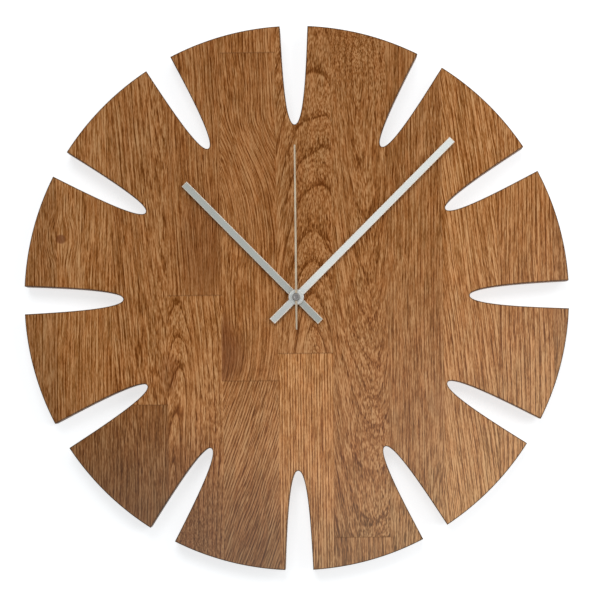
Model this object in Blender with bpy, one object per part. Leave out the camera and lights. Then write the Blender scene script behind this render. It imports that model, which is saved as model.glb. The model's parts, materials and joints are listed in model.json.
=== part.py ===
"""Wall clock: a slotted oak dial board with three hands and a quartz movement let into its back.

The frame is metres with +Z up. The dial faces -Y and the wall is the plane Y = 0. The origin is where
the wall screw bears in the keyhole of the hanger plate, so the hand axis lies below it. Shapes are drawn
as outlines in the dial plane, as (x, z) pairs round the hand axis, and carried through depths, which are
distances in front of the wall.
"""

import math

import bmesh
import bpy
from mathutils import Vector

MM = 0.001

# Fits
SEAT_GAP = 0.3 * MM
SHAFT_GAP = 0.2 * MM
BEARING_GAP = 0.25 * MM
OVERRUN = 1.0 * MM

# Dial board
BOARD_DIAMETER = 320.0 * MM
BOARD_THICKNESS = 20.0 * MM
BOARD_ARRIS = 0.45 * MM
SLOT_COUNT = 12
SLOT_DEPTH = 58.2 * MM
SLOT_MOUTH_WIDTH = 16.4 * MM
SLOT_NOSE_HANDLE = 5.6 * MM
SLOT_WALL_HANDLE = 23.6 * MM
SLOT_WALL_SLOPE_SHARE = 0.045
SLOT_SIDE_STEPS = 10
RIM_STEPS = 7

# Wall bumpers
BUMPER_COUNT = 4
BUMPER_DIAMETER = 12.0 * MM
BUMPER_HEIGHT = 3.6 * MM
BUMPER_EDGE = 0.5 * MM
BUMPER_RIM_DISTANCE = 30.0 * MM

# Hanger plate and its screws
PLATE_WIDTH = 44.0 * MM
PLATE_HEIGHT = 22.0 * MM
PLATE_THICKNESS = 1.5 * MM
PLATE_CORNER = 5.0 * MM
PLATE_POCKET_DISTANCE = 12.0 * MM
KEYHOLE_ENTRY_DIAMETER = 9.0 * MM
KEYHOLE_NECK_WIDTH = 4.8 * MM
KEYHOLE_TRAVEL = 8.0 * MM
KEYHOLE_HEAD_ROOM = 8.0 * MM
KEYHOLE_HEAD_CLEARANCE = 1.0 * MM
SCREW_SPACING = 32.0 * MM
SCREW_SHANK_DIAMETER = 3.2 * MM
SCREW_HEAD_DIAMETER = 6.4 * MM
SCREW_HEAD_HEIGHT = 1.6 * MM
SCREW_LENGTH = 12.0 * MM
SCREW_POINT = 2.0 * MM
SCREW_RECESS_DIAMETER = 2.4 * MM
SCREW_RECESS_DEPTH = 0.9 * MM

# Movement case
CASE_CORNER = 4.5 * MM
CASE_WALL = 1.0 * MM
CASE_FLOOR = 1.2 * MM
COVER_THICKNESS = 1.2 * MM
COVER_LIP_THICKNESS = 0.8 * MM
COVER_LIP_DEPTH = 1.5 * MM
POCKET_CLEARANCE = 0.6 * MM
PAD_THICKNESS = 0.8 * MM
PAD_MARGIN = 3.0 * MM
WALL_CLEARANCE = 0.4 * MM
COLLAR_DIAMETER = 7.9 * MM
COLLAR_FACE_DROP = 0.3 * MM

# Battery and its contacts
CELL_DIAMETER = 14.2 * MM
CELL_BODY_LENGTH = 49.0 * MM
CELL_NUB_DIAMETER = 5.4 * MM
CELL_NUB_LENGTH = 1.4 * MM
CELL_SHOULDER = 0.8 * MM
CELL_RECESS = 0.5 * MM
CONTACT_THICKNESS = 0.4 * MM
CONTACT_HEIGHT = 9.0 * MM
CONTACT_DEPTH = 9.0 * MM
CONTACT_BUTTON_DIAMETER = 4.4 * MM
CONTACT_BUTTON_HEIGHT = 0.8 * MM
STRIP_DEPTH = 3.0 * MM
THUMB_NOTCH_WIDTH = 16.0 * MM
THUMB_NOTCH_DEPTH = 2.5 * MM

# Hands
HOUR_HAND_LENGTH = 93.6 * MM
HOUR_HAND_TAIL = 20.1 * MM
HOUR_HAND_WIDTH = 4.1 * MM
HOUR_HAND_CLOCK_ANGLE = 315.9
MINUTE_HAND_LENGTH = 130.0 * MM
MINUTE_HAND_TAIL = 20.0 * MM
MINUTE_HAND_WIDTH = 4.15 * MM
MINUTE_HAND_CLOCK_ANGLE = 45.3
HAND_THICKNESS = 0.8 * MM
HAND_BEVEL = 0.35 * MM
HAND_EYE_DIAMETER = 9.0 * MM
HAND_EYE_RISE = 0.2 * MM
HAND_FACE_DISTANCE = 2.4 * MM
HAND_SPACING = 0.9 * MM
SECOND_HAND_LENGTH = 89.3 * MM
SECOND_HAND_TAIL = 19.1 * MM
SECOND_HAND_ROOT_WIDTH = 1.3 * MM
SECOND_HAND_TIP_WIDTH = 1.0 * MM
SECOND_HAND_THICKNESS = 0.4 * MM
SECOND_HAND_EYE_DIAMETER = 3.4 * MM
SECOND_CAP_DIAMETER = 4.5 * MM
SECOND_CAP_HEIGHT = 0.8 * MM
SECOND_CAP_DIMPLE = 0.25 * MM
HOUR_COLLET_HEIGHT = 1.7 * MM
COLLET_WALL = 0.8 * MM
SOCKET_HEIGHT = 0.6 * MM

# Pipes and arbors on the hand axis
SECOND_ARBOR_DIAMETER = 1.0 * MM
MINUTE_PIPE_DIAMETER = 3.5 * MM
MINUTE_PIPE_WALL = 0.95 * MM
HOUR_PIPE_WALL = 0.55 * MM
PIPE_FLANGE_WIDTH = 0.9 * MM
PIPE_FLANGE_THICKNESS = 0.5 * MM
CLUTCH_SPRING_THICKNESS = 0.25 * MM
CLUTCH_SPRING_WIDTH = 1.6 * MM

# Wheels: leaves, teeth and the module of each mesh
ROTOR_LEAVES = 6
INTERMEDIATE_TEETH = 36
INTERMEDIATE_LEAVES = 6
SECOND_TEETH = 30
SECOND_LEAVES = 8
THIRD_TEETH = 48
THIRD_LEAVES = 6
CENTRE_TEETH = 60
PIPE_LEAVES = 8
MOTION_TEETH = 24
MOTION_LEAVES = 6
HOUR_TEETH = 24
SETTING_LEAVES = 10
ROTOR_MODULE = 0.33 * MM
SECOND_MODULE = 0.40 * MM
THIRD_MODULE = 0.36 * MM
MOTION_MODULE = 0.56 * MM
ADDENDUM_SHARE = 0.7
DEDENDUM_SHARE = 1.0
TOOTH_ROOT_SHARE = 0.24
TOOTH_TIP_SHARE = 0.10

# Directions between axes, in degrees from +X towards +Z
INTERMEDIATE_DIRECTION = 60.0
ROTOR_DIRECTION = 100.0
THIRD_DIRECTION = 150.0
MOTION_DIRECTION = 30.0
SETTING_DIRECTION = 20.0

# Depth budget of the train, from the floor of the front case towards the wall
HOUR_WHEEL_THICKNESS = 1.0 * MM
MOTION_WHEEL_THICKNESS = 1.0 * MM
PIPE_PINION_THICKNESS = 1.4 * MM
TRAIN_WHEEL_THICKNESS = 0.9 * MM
TRAIN_GAP = 0.4 * MM
CENTRE_WHEEL_GAP = 1.82 * MM
PINION_OVERLAP = 0.3 * MM
FRAME_PLATE_THICKNESS = 0.8 * MM
ARBOR_DIAMETER = 1.0 * MM
PIVOT_REACH = 0.5 * MM
STUD_DIAMETER = 1.6 * MM

# Posts that carry the plates. The left ones stand beside the circuit board, at shares of their diameter
# from its edge, and the rest are shares of half the case's height.
LEFT_POST_SHARES = ((0.9, -0.27), (1.5, 0.52))
RIGHT_POST_SHARES = ((0.45, -0.29), (0.57, 0.55))
POST_DIAMETER = 3.4 * MM
POST_STEP = 0.6 * MM
PLATE_EDGE = 1.3 * MM
PLATE_COIL_CLEARANCE = 0.6 * MM

# Motor
MAGNET_DIAMETER = 6.0 * MM
MAGNET_HEIGHT = 2.2 * MM
STATOR_THICKNESS = 0.9 * MM
STATOR_HOLE_CLEARANCE = 0.5 * MM
STATOR_BAR_HEIGHT = 8.4 * MM
STATOR_WIDTH = 26.0 * MM
STATOR_LEG_WIDTH = 3.0 * MM
COIL_DIAMETER = 7.2 * MM
COIL_FLANGE_THICKNESS = 0.8 * MM
COIL_BARREL_DIAMETER = 4.6 * MM
COIL_END_GAP = 1.0 * MM
COIL_CORE_WIDTH = 3.0 * MM
COIL_TOP_GAP = 1.0 * MM
COIL_STATOR_GAP = 1.5 * MM
STAKE_DIAMETER = 1.4 * MM

# Electronics
CIRCUIT_WIDTH = 4.0 * MM
CIRCUIT_HEIGHT = 22.0 * MM
CIRCUIT_THICKNESS = 0.8 * MM
CIRCUIT_DEPTH = 7.5 * MM
CIRCUIT_BOTTOM_GAP = 2.2 * MM
CIRCUIT_STUD_SHARES = (0.15, 0.85)
BLOB_DIAMETER = 3.2 * MM
BLOB_HEIGHT = 1.0 * MM
CRYSTAL_DIAMETER = 2.0 * MM
CRYSTAL_LENGTH = 6.2 * MM

# Hand setting
KNOB_DIAMETER = 14.0 * MM
KNOB_HEIGHT = 1.2 * MM
KNOB_FLUTES = 18
KNOB_FLUTE_DEPTH = 0.35 * MM
KNOB_FLUTE_SHARES = (-0.25, 0.0, 0.25, 0.5)
KNOB_WELL_DEPTH = 0.5 * MM
KNOB_WELL_GAP = 0.8 * MM
KNOB_RIM_WIDTH = 2.0 * MM
SETTING_SHAFT_DIAMETER = 2.4 * MM

# Facets round a circle
SMALL = 8
COARSE = 12
MEDIUM = 20
FINE = 28


def half(size):
    """Half of a size, such as the radius of a diameter."""
    return size / 2


def along(start, direction, distance):
    """The point at a distance from a start, in a direction in degrees from +X towards +Z."""
    angle = math.radians(direction)
    return (start[0] + distance * math.cos(angle), start[1] + distance * math.sin(angle))


def centre_distance(module, first, second):
    """Distance between the axes of two meshed wheels."""
    return module * (first + second) / 2


# Axes of the wheels in the dial plane, as (x, z) round the hand axis
HAND_AXIS = (0.0, 0.0)
INTERMEDIATE_AXIS = along(
    HAND_AXIS, INTERMEDIATE_DIRECTION, centre_distance(SECOND_MODULE, INTERMEDIATE_LEAVES, SECOND_TEETH))
ROTOR_AXIS = along(
    INTERMEDIATE_AXIS, ROTOR_DIRECTION, centre_distance(ROTOR_MODULE, ROTOR_LEAVES, INTERMEDIATE_TEETH))
THIRD_AXIS_DISTANCE = centre_distance(THIRD_MODULE, SECOND_LEAVES, THIRD_TEETH)
THIRD_AXIS = along(HAND_AXIS, THIRD_DIRECTION, THIRD_AXIS_DISTANCE)
CENTRE_MODULE = 2 * THIRD_AXIS_DISTANCE / (THIRD_LEAVES + CENTRE_TEETH)
MOTION_AXIS_DISTANCE = centre_distance(MOTION_MODULE, PIPE_LEAVES, MOTION_TEETH)
MOTION_AXIS = along(HAND_AXIS, MOTION_DIRECTION, MOTION_AXIS_DISTANCE)
HOUR_MODULE = 2 * MOTION_AXIS_DISTANCE / (MOTION_LEAVES + HOUR_TEETH)
SETTING_AXIS = along(
    MOTION_AXIS, SETTING_DIRECTION, centre_distance(MOTION_MODULE, MOTION_TEETH, SETTING_LEAVES))

# The case takes the cell between its contacts. It is as tall as the centre wheel over the battery bay or
# the coil over the stator needs, and as deep as the cell or the train needs.
CENTRE_WHEEL_RADIUS = CENTRE_MODULE * (CENTRE_TEETH / 2 + ADDENDUM_SHARE)
CASE_HEIGHT = 2 * max(
    2 * CASE_WALL + 2 * SEAT_GAP + CELL_DIAMETER + CENTRE_WHEEL_GAP + CENTRE_WHEEL_RADIUS,
    ROTOR_AXIS[1] + half(STATOR_BAR_HEIGHT) + COIL_STATOR_GAP + COIL_DIAMETER + COIL_TOP_GAP + CASE_WALL)
TRAIN_DEPTH = (
    HOUR_WHEEL_THICKNESS + PIPE_PINION_THICKNESS + CLUTCH_SPRING_THICKNESS + PIPE_FLANGE_THICKNESS
    + 4 * TRAIN_WHEEL_THICKNESS + 2 * FRAME_PLATE_THICKNESS
    + 5 * SEAT_GAP + 5 * TRAIN_GAP + 3 * PINION_OVERLAP)
CASE_DEPTH = CASE_FLOOR + SEAT_GAP + max(CELL_DIAMETER + CELL_RECESS, TRAIN_DEPTH + COVER_THICKNESS)
CASE_WIDTH = (
    CELL_BODY_LENGTH + CELL_NUB_LENGTH
    + 2 * (CASE_WALL + 2 * SEAT_GAP + CONTACT_THICKNESS + CONTACT_BUTTON_HEIGHT))

# Depths in front of the wall
KNOB_BACK = WALL_CLEARANCE
CASE_BACK = KNOB_BACK + KNOB_HEIGHT
CASE_FRONT = CASE_BACK + CASE_DEPTH
FLOOR = CASE_FRONT - CASE_FLOOR
COVER_FRONT = CASE_BACK + COVER_THICKNESS
PAD_BACK = CASE_FRONT + SEAT_GAP
POCKET_FLOOR = PAD_BACK + PAD_THICKNESS + SEAT_GAP
BOARD_BACK = BUMPER_HEIGHT
BOARD_FACE = BOARD_BACK + BOARD_THICKNESS
HOUR_HAND_BACK = BOARD_FACE + HAND_FACE_DISTANCE
HOUR_HAND_FRONT = HOUR_HAND_BACK + HAND_THICKNESS
MINUTE_HAND_BACK = HOUR_HAND_FRONT + HAND_EYE_RISE + HAND_SPACING
MINUTE_HAND_FRONT = MINUTE_HAND_BACK + HAND_THICKNESS
SECOND_HAND_BACK = MINUTE_HAND_FRONT + HAND_EYE_RISE + SOCKET_HEIGHT + SEAT_GAP * 2
SECOND_HAND_FRONT = SECOND_HAND_BACK + SECOND_HAND_THICKNESS

HOUR_WHEEL_FRONT = FLOOR - SEAT_GAP
HOUR_WHEEL_BACK = HOUR_WHEEL_FRONT - HOUR_WHEEL_THICKNESS
PIPE_PINION_FRONT = HOUR_WHEEL_BACK - TRAIN_GAP
PIPE_PINION_BACK = PIPE_PINION_FRONT - PIPE_PINION_THICKNESS
MOTION_WHEEL_FRONT = PIPE_PINION_FRONT - half(PIPE_PINION_THICKNESS - MOTION_WHEEL_THICKNESS)
MOTION_WHEEL_BACK = MOTION_WHEEL_FRONT - MOTION_WHEEL_THICKNESS
SPRING_FRONT = PIPE_PINION_BACK - SEAT_GAP
SPRING_BACK = SPRING_FRONT - CLUTCH_SPRING_THICKNESS
CENTRE_WHEEL_FRONT = SPRING_BACK - SEAT_GAP
CENTRE_WHEEL_BACK = CENTRE_WHEEL_FRONT - TRAIN_WHEEL_THICKNESS
FLANGE_FRONT = CENTRE_WHEEL_BACK - SEAT_GAP
FLANGE_BACK = FLANGE_FRONT - PIPE_FLANGE_THICKNESS
MIDDLE_PLATE_FRONT = FLANGE_BACK - SEAT_GAP
MIDDLE_PLATE_BACK = MIDDLE_PLATE_FRONT - FRAME_PLATE_THICKNESS
THIRD_WHEEL_FRONT = MIDDLE_PLATE_BACK - TRAIN_GAP
THIRD_WHEEL_BACK = THIRD_WHEEL_FRONT - TRAIN_WHEEL_THICKNESS
SECOND_WHEEL_FRONT = THIRD_WHEEL_BACK - TRAIN_GAP - PINION_OVERLAP
SECOND_WHEEL_BACK = SECOND_WHEEL_FRONT - TRAIN_WHEEL_THICKNESS
INTERMEDIATE_FRONT = SECOND_WHEEL_BACK - TRAIN_GAP - PINION_OVERLAP
INTERMEDIATE_BACK = INTERMEDIATE_FRONT - TRAIN_WHEEL_THICKNESS
BRIDGE_FRONT = INTERMEDIATE_BACK - TRAIN_GAP - PINION_OVERLAP
BRIDGE_BACK = BRIDGE_FRONT - FRAME_PLATE_THICKNESS

# The stator lies behind the third wheel, level with the middle of the rotor magnet
STATOR_FRONT = THIRD_WHEEL_BACK - TRAIN_GAP
STATOR_BACK = STATOR_FRONT - STATOR_THICKNESS
MAGNET_FRONT = half(STATOR_FRONT + STATOR_BACK) + half(MAGNET_HEIGHT)
MAGNET_BACK = MAGNET_FRONT - MAGNET_HEIGHT
CORE_FRONT = STATOR_BACK - SEAT_GAP
CORE_BACK = CORE_FRONT - STATOR_THICKNESS
COIL_DEPTH = half(CORE_FRONT + CORE_BACK)

# Places in the dial plane, round the hand axis
CASE_SIDE_X = half(CASE_WIDTH)
CASE_TOP_Z = half(CASE_HEIGHT)
INNER_SIDE_X = CASE_SIDE_X - CASE_WALL
INNER_TOP_Z = CASE_TOP_Z - CASE_WALL
CELL_CENTRE_Z = half(CELL_DIAMETER) + SEAT_GAP - INNER_TOP_Z
CELL_CENTRE_DEPTH = FLOOR - SEAT_GAP - half(CELL_DIAMETER)
BAY_TOP_Z = CELL_CENTRE_Z + half(CELL_DIAMETER) + SEAT_GAP
TRAIN_BOTTOM_Z = BAY_TOP_Z + CASE_WALL
COVER_BOTTOM_Z = half(BAY_TOP_Z + TRAIN_BOTTOM_Z)
COIL_CENTRE_Z = INNER_TOP_Z - COIL_TOP_GAP - half(COIL_DIAMETER)
FRAME_PLATE_TOP_Z = COIL_CENTRE_Z - half(COIL_DIAMETER) - PLATE_COIL_CLEARANCE

HANGER_CENTRE_Z = CASE_TOP_Z + POCKET_CLEARANCE + PLATE_POCKET_DISTANCE + half(PLATE_HEIGHT)
KEYHOLE_ENTRY_Z = HANGER_CENTRE_Z - half(KEYHOLE_TRAVEL)
HOOK_Z = HANGER_CENTRE_Z + half(KEYHOLE_TRAVEL)

MINUTE_PIPE_BORE = half(MINUTE_PIPE_DIAMETER) - MINUTE_PIPE_WALL
HOUR_PIPE_BORE = half(MINUTE_PIPE_DIAMETER) + BEARING_GAP
HOUR_PIPE_RADIUS = HOUR_PIPE_BORE + HOUR_PIPE_WALL
COLLAR_BORE = HOUR_PIPE_RADIUS + BEARING_GAP

STATOR_CENTRE_X = ROTOR_AXIS[0] - half(STATOR_LEG_WIDTH)
CIRCUIT_RIGHT_X = SEAT_GAP + CIRCUIT_WIDTH - INNER_SIDE_X
POST_PLACES = [
    (CIRCUIT_RIGHT_X + x * POST_DIAMETER, z * CASE_TOP_Z) for x, z in LEFT_POST_SHARES
] + [(x * CASE_TOP_Z, z * CASE_TOP_Z) for x, z in RIGHT_POST_SHARES]


# Outlines in the dial plane

def circle(diameter, centre=HAND_AXIS, steps=MEDIUM):
    """Points round a circle, with a flat towards +X so that parallel circles nest."""
    radius = half(diameter)
    turn = 2 * math.pi / steps
    return [
        (centre[0] + radius * math.cos((i + 0.5) * turn), centre[1] + radius * math.sin((i + 0.5) * turn))
        for i in range(steps)
    ]


def rectangle(left, bottom, right, top):
    """The four corners of an upright rectangle."""
    return [(left, bottom), (right, bottom), (right, top), (left, top)]


def rounded_rectangle(left, bottom, right, top, corner, steps=3):
    """An upright rectangle with its corners drawn as arcs."""
    centres = (
        (right - corner, top - corner), (left + corner, top - corner),
        (left + corner, bottom + corner), (right - corner, bottom + corner))
    points = []
    for quarter, (x, z) in enumerate(centres):
        for i in range(steps + 1):
            angle = (quarter + i / steps) * math.pi / 2
            points.append((x + corner * math.cos(angle), z + corner * math.sin(angle)))
    return points


def case_outline(margin):
    """The movement's outline, moved outwards by a margin."""
    x, z = CASE_SIDE_X + margin, CASE_TOP_Z + margin
    return rounded_rectangle(-x, -z, x, z, CASE_CORNER + margin)


def capsule(width, low, high, steps=6):
    """An upright slot with round ends, whose end centres are at the heights low and high."""
    radius = half(width)
    points = []
    for centre, start in ((high, 0.0), (low, math.pi)):
        for i in range(steps + 1):
            angle = start + math.pi * i / steps
            points.append((radius * math.cos(angle), centre + radius * math.sin(angle)))
    return points


def ribbon(points, thickness):
    """The outline of a bent strip, with its middle line along the points."""
    left, right = [], []
    for i, point in enumerate(points):
        here = Vector(point)
        before = (here - Vector(points[i - 1])).normalized() if i > 0 else None
        after = (Vector(points[i + 1]) - here).normalized() if i + 1 < len(points) else None
        before = before or after
        after = after or before
        across = Vector((-before.y - after.y, before.x + after.x))
        reach = half(thickness) * across / (1 + before.dot(after))
        left.append(tuple(here + reach))
        right.append(tuple(here - reach))
    return right + left[::-1]


def inset(outline, amount):
    """Move each edge of a counter-clockwise outline inwards, and let the moved edges meet again."""
    moved = []
    for i, point in enumerate(outline):
        here = Vector(point)
        before = (here - Vector(outline[i - 1])).normalized()
        after = (Vector(outline[(i + 1) % len(outline)]) - here).normalized()
        inwards = Vector((-before.y - after.y, before.x + after.x))
        moved.append(tuple(here + amount * inwards / (1 + before.dot(after))))
    return moved


def wheel_outline(teeth, module, phase):
    """Straight-sided teeth. The phase is the direction of one tooth, in radians from +X towards +Z."""
    pitch = 2 * math.pi / teeth
    tip = module * (teeth / 2 + ADDENDUM_SHARE)
    root = module * (teeth / 2 - DEDENDUM_SHARE)
    corners = (
        (root, -TOOTH_ROOT_SHARE), (tip, -TOOTH_TIP_SHARE),
        (tip, TOOTH_TIP_SHARE), (root, TOOTH_ROOT_SHARE))
    points = []
    for i in range(teeth):
        for radius, share in corners:
            angle = phase + (i + share) * pitch
            points.append((radius * math.cos(angle), radius * math.sin(angle)))
    return points


def meshed_phase(phase, teeth, axis, mate_teeth, mate_axis):
    """The phase at which a mate's gap meets the tooth of a wheel between their two axes."""
    direction = math.atan2(mate_axis[1] - axis[1], mate_axis[0] - axis[0])
    lead = phase - direction
    return direction + math.pi - lead * teeth / mate_teeth + math.pi / mate_teeth


def slot_side():
    """One side of a slot that runs out along +X, from its nose to the rim.

    A cubic curve leaves the nose square to the slot's middle line and meets the rim with the slope of
    the slot's wall.
    """
    radius = half(BOARD_DIAMETER)
    mouth = half(SLOT_MOUTH_WIDTH)
    wall = Vector((1.0, SLOT_WALL_SLOPE_SHARE)).normalized()
    nose = Vector((radius - SLOT_DEPTH, 0.0))
    rim = Vector((math.sqrt(radius ** 2 - mouth ** 2), mouth))
    handles = (nose, nose + Vector((0.0, SLOT_NOSE_HANDLE)), rim - SLOT_WALL_HANDLE * wall, rim)
    points = []
    for i in range(SLOT_SIDE_STEPS + 1):
        t = i / SLOT_SIDE_STEPS
        weights = ((1 - t) ** 3, 3 * t * (1 - t) ** 2, 3 * t ** 2 * (1 - t), t ** 3)
        points.append(sum((w * p for w, p in zip(weights, handles)), Vector((0.0, 0.0))))
    return points


def board_outline():
    """The rim of the board with all its slots, counter-clockwise as seen from the front."""
    side = slot_side()
    radius = half(BOARD_DIAMETER)
    turn = 2 * math.pi / SLOT_COUNT
    mouth_angle = math.atan2(side[-1].y, side[-1].x)
    points = []
    for slot in range(SLOT_COUNT):
        angle = slot * turn
        cos, sin = math.cos(angle), math.sin(angle)
        path = [(p.x, -p.y) for p in reversed(side)] + [(p.x, p.y) for p in side[1:]]
        points += [(x * cos - z * sin, x * sin + z * cos) for x, z in path]
        petal = turn - 2 * mouth_angle
        for i in range(1, RIM_STEPS):
            rim = angle + mouth_angle + petal * i / RIM_STEPS
            points.append((radius * math.cos(rim), radius * math.sin(rim)))
    return points


# Solids

def make_object(mesh):
    """Turn a finished bmesh into an object whose faces point outwards."""
    bmesh.ops.recalc_face_normals(mesh, faces=mesh.faces)
    data = bpy.data.meshes.new("shape")
    mesh.to_mesh(data)
    mesh.free()
    shape = bpy.data.objects.new("shape", data)
    bpy.context.scene.collection.objects.link(shape)
    return shape


def layered(layers):
    """A closed solid through outlines with equal numbers of points, given as (outline, depth) pairs."""
    mesh = bmesh.new()
    loops = [[mesh.verts.new((x, -depth, z)) for x, z in outline] for outline, depth in layers]
    mesh.faces.new(loops[0])
    mesh.faces.new(loops[-1])
    for lower, upper in zip(loops, loops[1:]):
        for i in range(len(lower)):
            j = (i + 1) % len(lower)
            mesh.faces.new((lower[i], lower[j], upper[j], upper[i]))
    return make_object(mesh)


def prism(outline, back, front):
    """A straight solid of an outline between two depths."""
    return layered(((outline, back), (outline, front)))


def turned(profile, steps=MEDIUM, centre=HAND_AXIS, tube=False):
    """A solid of revolution round an axis square to the dial, from (radius, depth) points.

    A solid profile starts and ends on the axis. A tube's profile is a closed loop clear of the axis.
    """
    mesh = bmesh.new()
    turn = 2 * math.pi / steps
    rings = []
    for radius, depth in profile:
        count = steps if radius > 0 else 1
        rings.append([
            mesh.verts.new((
                centre[0] + radius * math.cos((i + 0.5) * turn), -depth,
                centre[1] + radius * math.sin((i + 0.5) * turn)))
            for i in range(count)
        ])
    pairs = list(zip(rings, rings[1:]))
    if tube:
        pairs.append((rings[-1], rings[0]))
    for first, second in pairs:
        for i in range(steps):
            j = (i + 1) % steps
            corners = [
                first[i % len(first)], first[j % len(first)],
                second[j % len(second)], second[i % len(second)]]
            face = list(dict.fromkeys(corners))
            if len(face) > 2:
                mesh.faces.new(face)
    return make_object(mesh)


def ring(inner, outer, back, front):
    """A plain tube round the hand axis between two radii."""
    profile = ((inner, back), (outer, back), (outer, front), (inner, front))
    return turned(profile, COARSE, tube=True)


def cylinder(diameter, back, front, centre=HAND_AXIS, steps=MEDIUM):
    """A plain round bar or round cutter."""
    return prism(circle(diameter, centre, steps), back, front)


def combine(target, tools, operation):
    """Apply exact booleans to a target, and remove the tools."""
    for tool in tools:
        modifier = target.modifiers.new("combine", "BOOLEAN")
        modifier.operation = operation
        modifier.solver = "EXACT"
        modifier.object = tool
    depsgraph = bpy.context.evaluated_depsgraph_get()
    mesh = bpy.data.meshes.new_from_object(target.evaluated_get(depsgraph))
    target.modifiers.clear()
    target.data = mesh
    for tool in tools:
        bpy.data.objects.remove(tool, do_unlink=True)
    return target


def fuse(target, *tools):
    """Join tools to a target as one body."""
    return combine(target, tools, "UNION")


def cut(target, *tools):
    """Take tools away from a target."""
    return combine(target, tools, "DIFFERENCE")


def turn_to_x(shape, x, depth, z):
    """Lay a shape's depth axis along X, with its front towards -X, and put it at a place."""
    for vertex in shape.data.vertices:
        across, forward, up = vertex.co.x, -vertex.co.y, vertex.co.z
        vertex.co = Vector((x - forward, across - depth, z + up))
    return shape


def make_material(name, colour, roughness, metallic=0.0):
    """A plain finish."""
    material = bpy.data.materials.new(name)
    material.use_nodes = True
    shader = material.node_tree.nodes["Principled BSDF"]
    shader.inputs["Base Color"].default_value = (*colour, 1.0)
    shader.inputs["Roughness"].default_value = roughness
    shader.inputs["Metallic"].default_value = metallic
    material.diffuse_color = (*colour, 1.0)
    return material


def make_empty(name, place, parent):
    """A joint's own frame, on its axis."""
    frame = bpy.data.objects.new(name, None)
    frame.empty_display_size = CASE_WALL
    frame.location = (place[0], 0.0, place[1])
    frame.parent = parent
    bpy.context.scene.collection.objects.link(frame)
    return frame


def name_node(shape, name, material, parent, turn=0.0):
    """Name a finished piece, dress it and hang it in its frame, turned clockwise by degrees."""
    shape.name = name
    shape.data.name = name
    shape.data.materials.clear()
    shape.data.materials.append(material)
    shape.data.shade_smooth()
    shape.data.set_sharp_from_angle(angle=math.radians(30))
    shape.parent = parent
    shape.rotation_euler = (0.0, math.radians(turn), 0.0)
    return shape


# Board and what is fixed to it

def build_dial_board():
    """The oak disc: slots through it, a fine arris on both faces, and the recesses in its back."""
    outline = board_outline()
    eased = inset(outline, BOARD_ARRIS)
    board = layered((
        (eased, BOARD_BACK), (outline, BOARD_BACK + BOARD_ARRIS),
        (outline, BOARD_FACE - BOARD_ARRIS), (eased, BOARD_FACE)))
    pocket = prism(case_outline(POCKET_CLEARANCE), BOARD_BACK - OVERRUN, POCKET_FLOOR)
    bore = cylinder(COLLAR_DIAMETER + 2 * SEAT_GAP, POCKET_FLOOR - OVERRUN, BOARD_FACE + OVERRUN, steps=FINE)
    seat = prism(
        hanger_outline(SEAT_GAP), BOARD_BACK - OVERRUN, BOARD_BACK + PLATE_THICKNESS + SEAT_GAP)
    head_room = prism(
        capsule(KEYHOLE_ENTRY_DIAMETER + 2 * KEYHOLE_HEAD_CLEARANCE, KEYHOLE_ENTRY_Z, HOOK_Z),
        BOARD_BACK + PLATE_THICKNESS, BOARD_BACK + PLATE_THICKNESS + KEYHOLE_HEAD_ROOM)
    pilots = [
        cylinder(
            SCREW_SHANK_DIAMETER + 2 * SHAFT_GAP, BOARD_BACK + PLATE_THICKNESS,
            BOARD_BACK + SCREW_LENGTH + SEAT_GAP, place, COARSE)
        for place in screw_places()
    ]
    return cut(board, pocket, bore, seat, head_room, *pilots)


def screw_places():
    """The two screws of the hanger plate."""
    return [(side * half(SCREW_SPACING), HANGER_CENTRE_Z) for side in (-1, 1)]


def hanger_outline(clearance):
    """The hanger plate's outline, or its seat's where a clearance is given."""
    return rounded_rectangle(
        -half(PLATE_WIDTH) - clearance, HANGER_CENTRE_Z - half(PLATE_HEIGHT) - clearance,
        half(PLATE_WIDTH) + clearance, HANGER_CENTRE_Z + half(PLATE_HEIGHT) + clearance,
        PLATE_CORNER + clearance)


def bumper_places():
    """The places of the bumpers, each on a petal's back."""
    distance = half(BOARD_DIAMETER) - BUMPER_RIM_DISTANCE
    turn = 360.0 / BUMPER_COUNT
    return [along(HAND_AXIS, (i + 0.5) * turn, distance) for i in range(BUMPER_COUNT)]


def build_wall_bumper(place):
    """A rubber disc on the back that holds the rim off the wall."""
    radius = half(BUMPER_DIAMETER)
    profile = (
        (0.0, 0.0), (radius - BUMPER_EDGE, 0.0), (radius, BUMPER_EDGE),
        (radius, BOARD_BACK - SEAT_GAP), (0.0, BOARD_BACK - SEAT_GAP))
    return turned(profile, MEDIUM, place)


def build_hanger_plate():
    """Steel plate with a keyhole and two countersunk holes, flush with the board's back."""
    back = BOARD_BACK
    front = back + PLATE_THICKNESS
    plate = prism(hanger_outline(0.0), back, front)
    entry = cylinder(
        KEYHOLE_ENTRY_DIAMETER, back - OVERRUN, front + OVERRUN, (0.0, KEYHOLE_ENTRY_Z), MEDIUM)
    neck = prism(
        capsule(KEYHOLE_NECK_WIDTH, KEYHOLE_ENTRY_Z, HOOK_Z), back - OVERRUN, front + OVERRUN)
    sinks = [turned(screw_profile(SHAFT_GAP, OVERRUN), MEDIUM, place) for place in screw_places()]
    return cut(plate, entry, neck, *sinks)


def screw_profile(clearance, overrun):
    """A countersunk screw from its head to its point, or its hole where a clearance is given."""
    head = half(SCREW_HEAD_DIAMETER) + clearance
    shank = half(SCREW_SHANK_DIAMETER) + clearance
    back = BOARD_BACK
    return (
        (0.0, back - overrun), (head, back - overrun), (head, back + clearance),
        (shank, back + SCREW_HEAD_HEIGHT + clearance), (shank, back + SCREW_LENGTH - SCREW_POINT),
        (0.0, back + SCREW_LENGTH))


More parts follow.
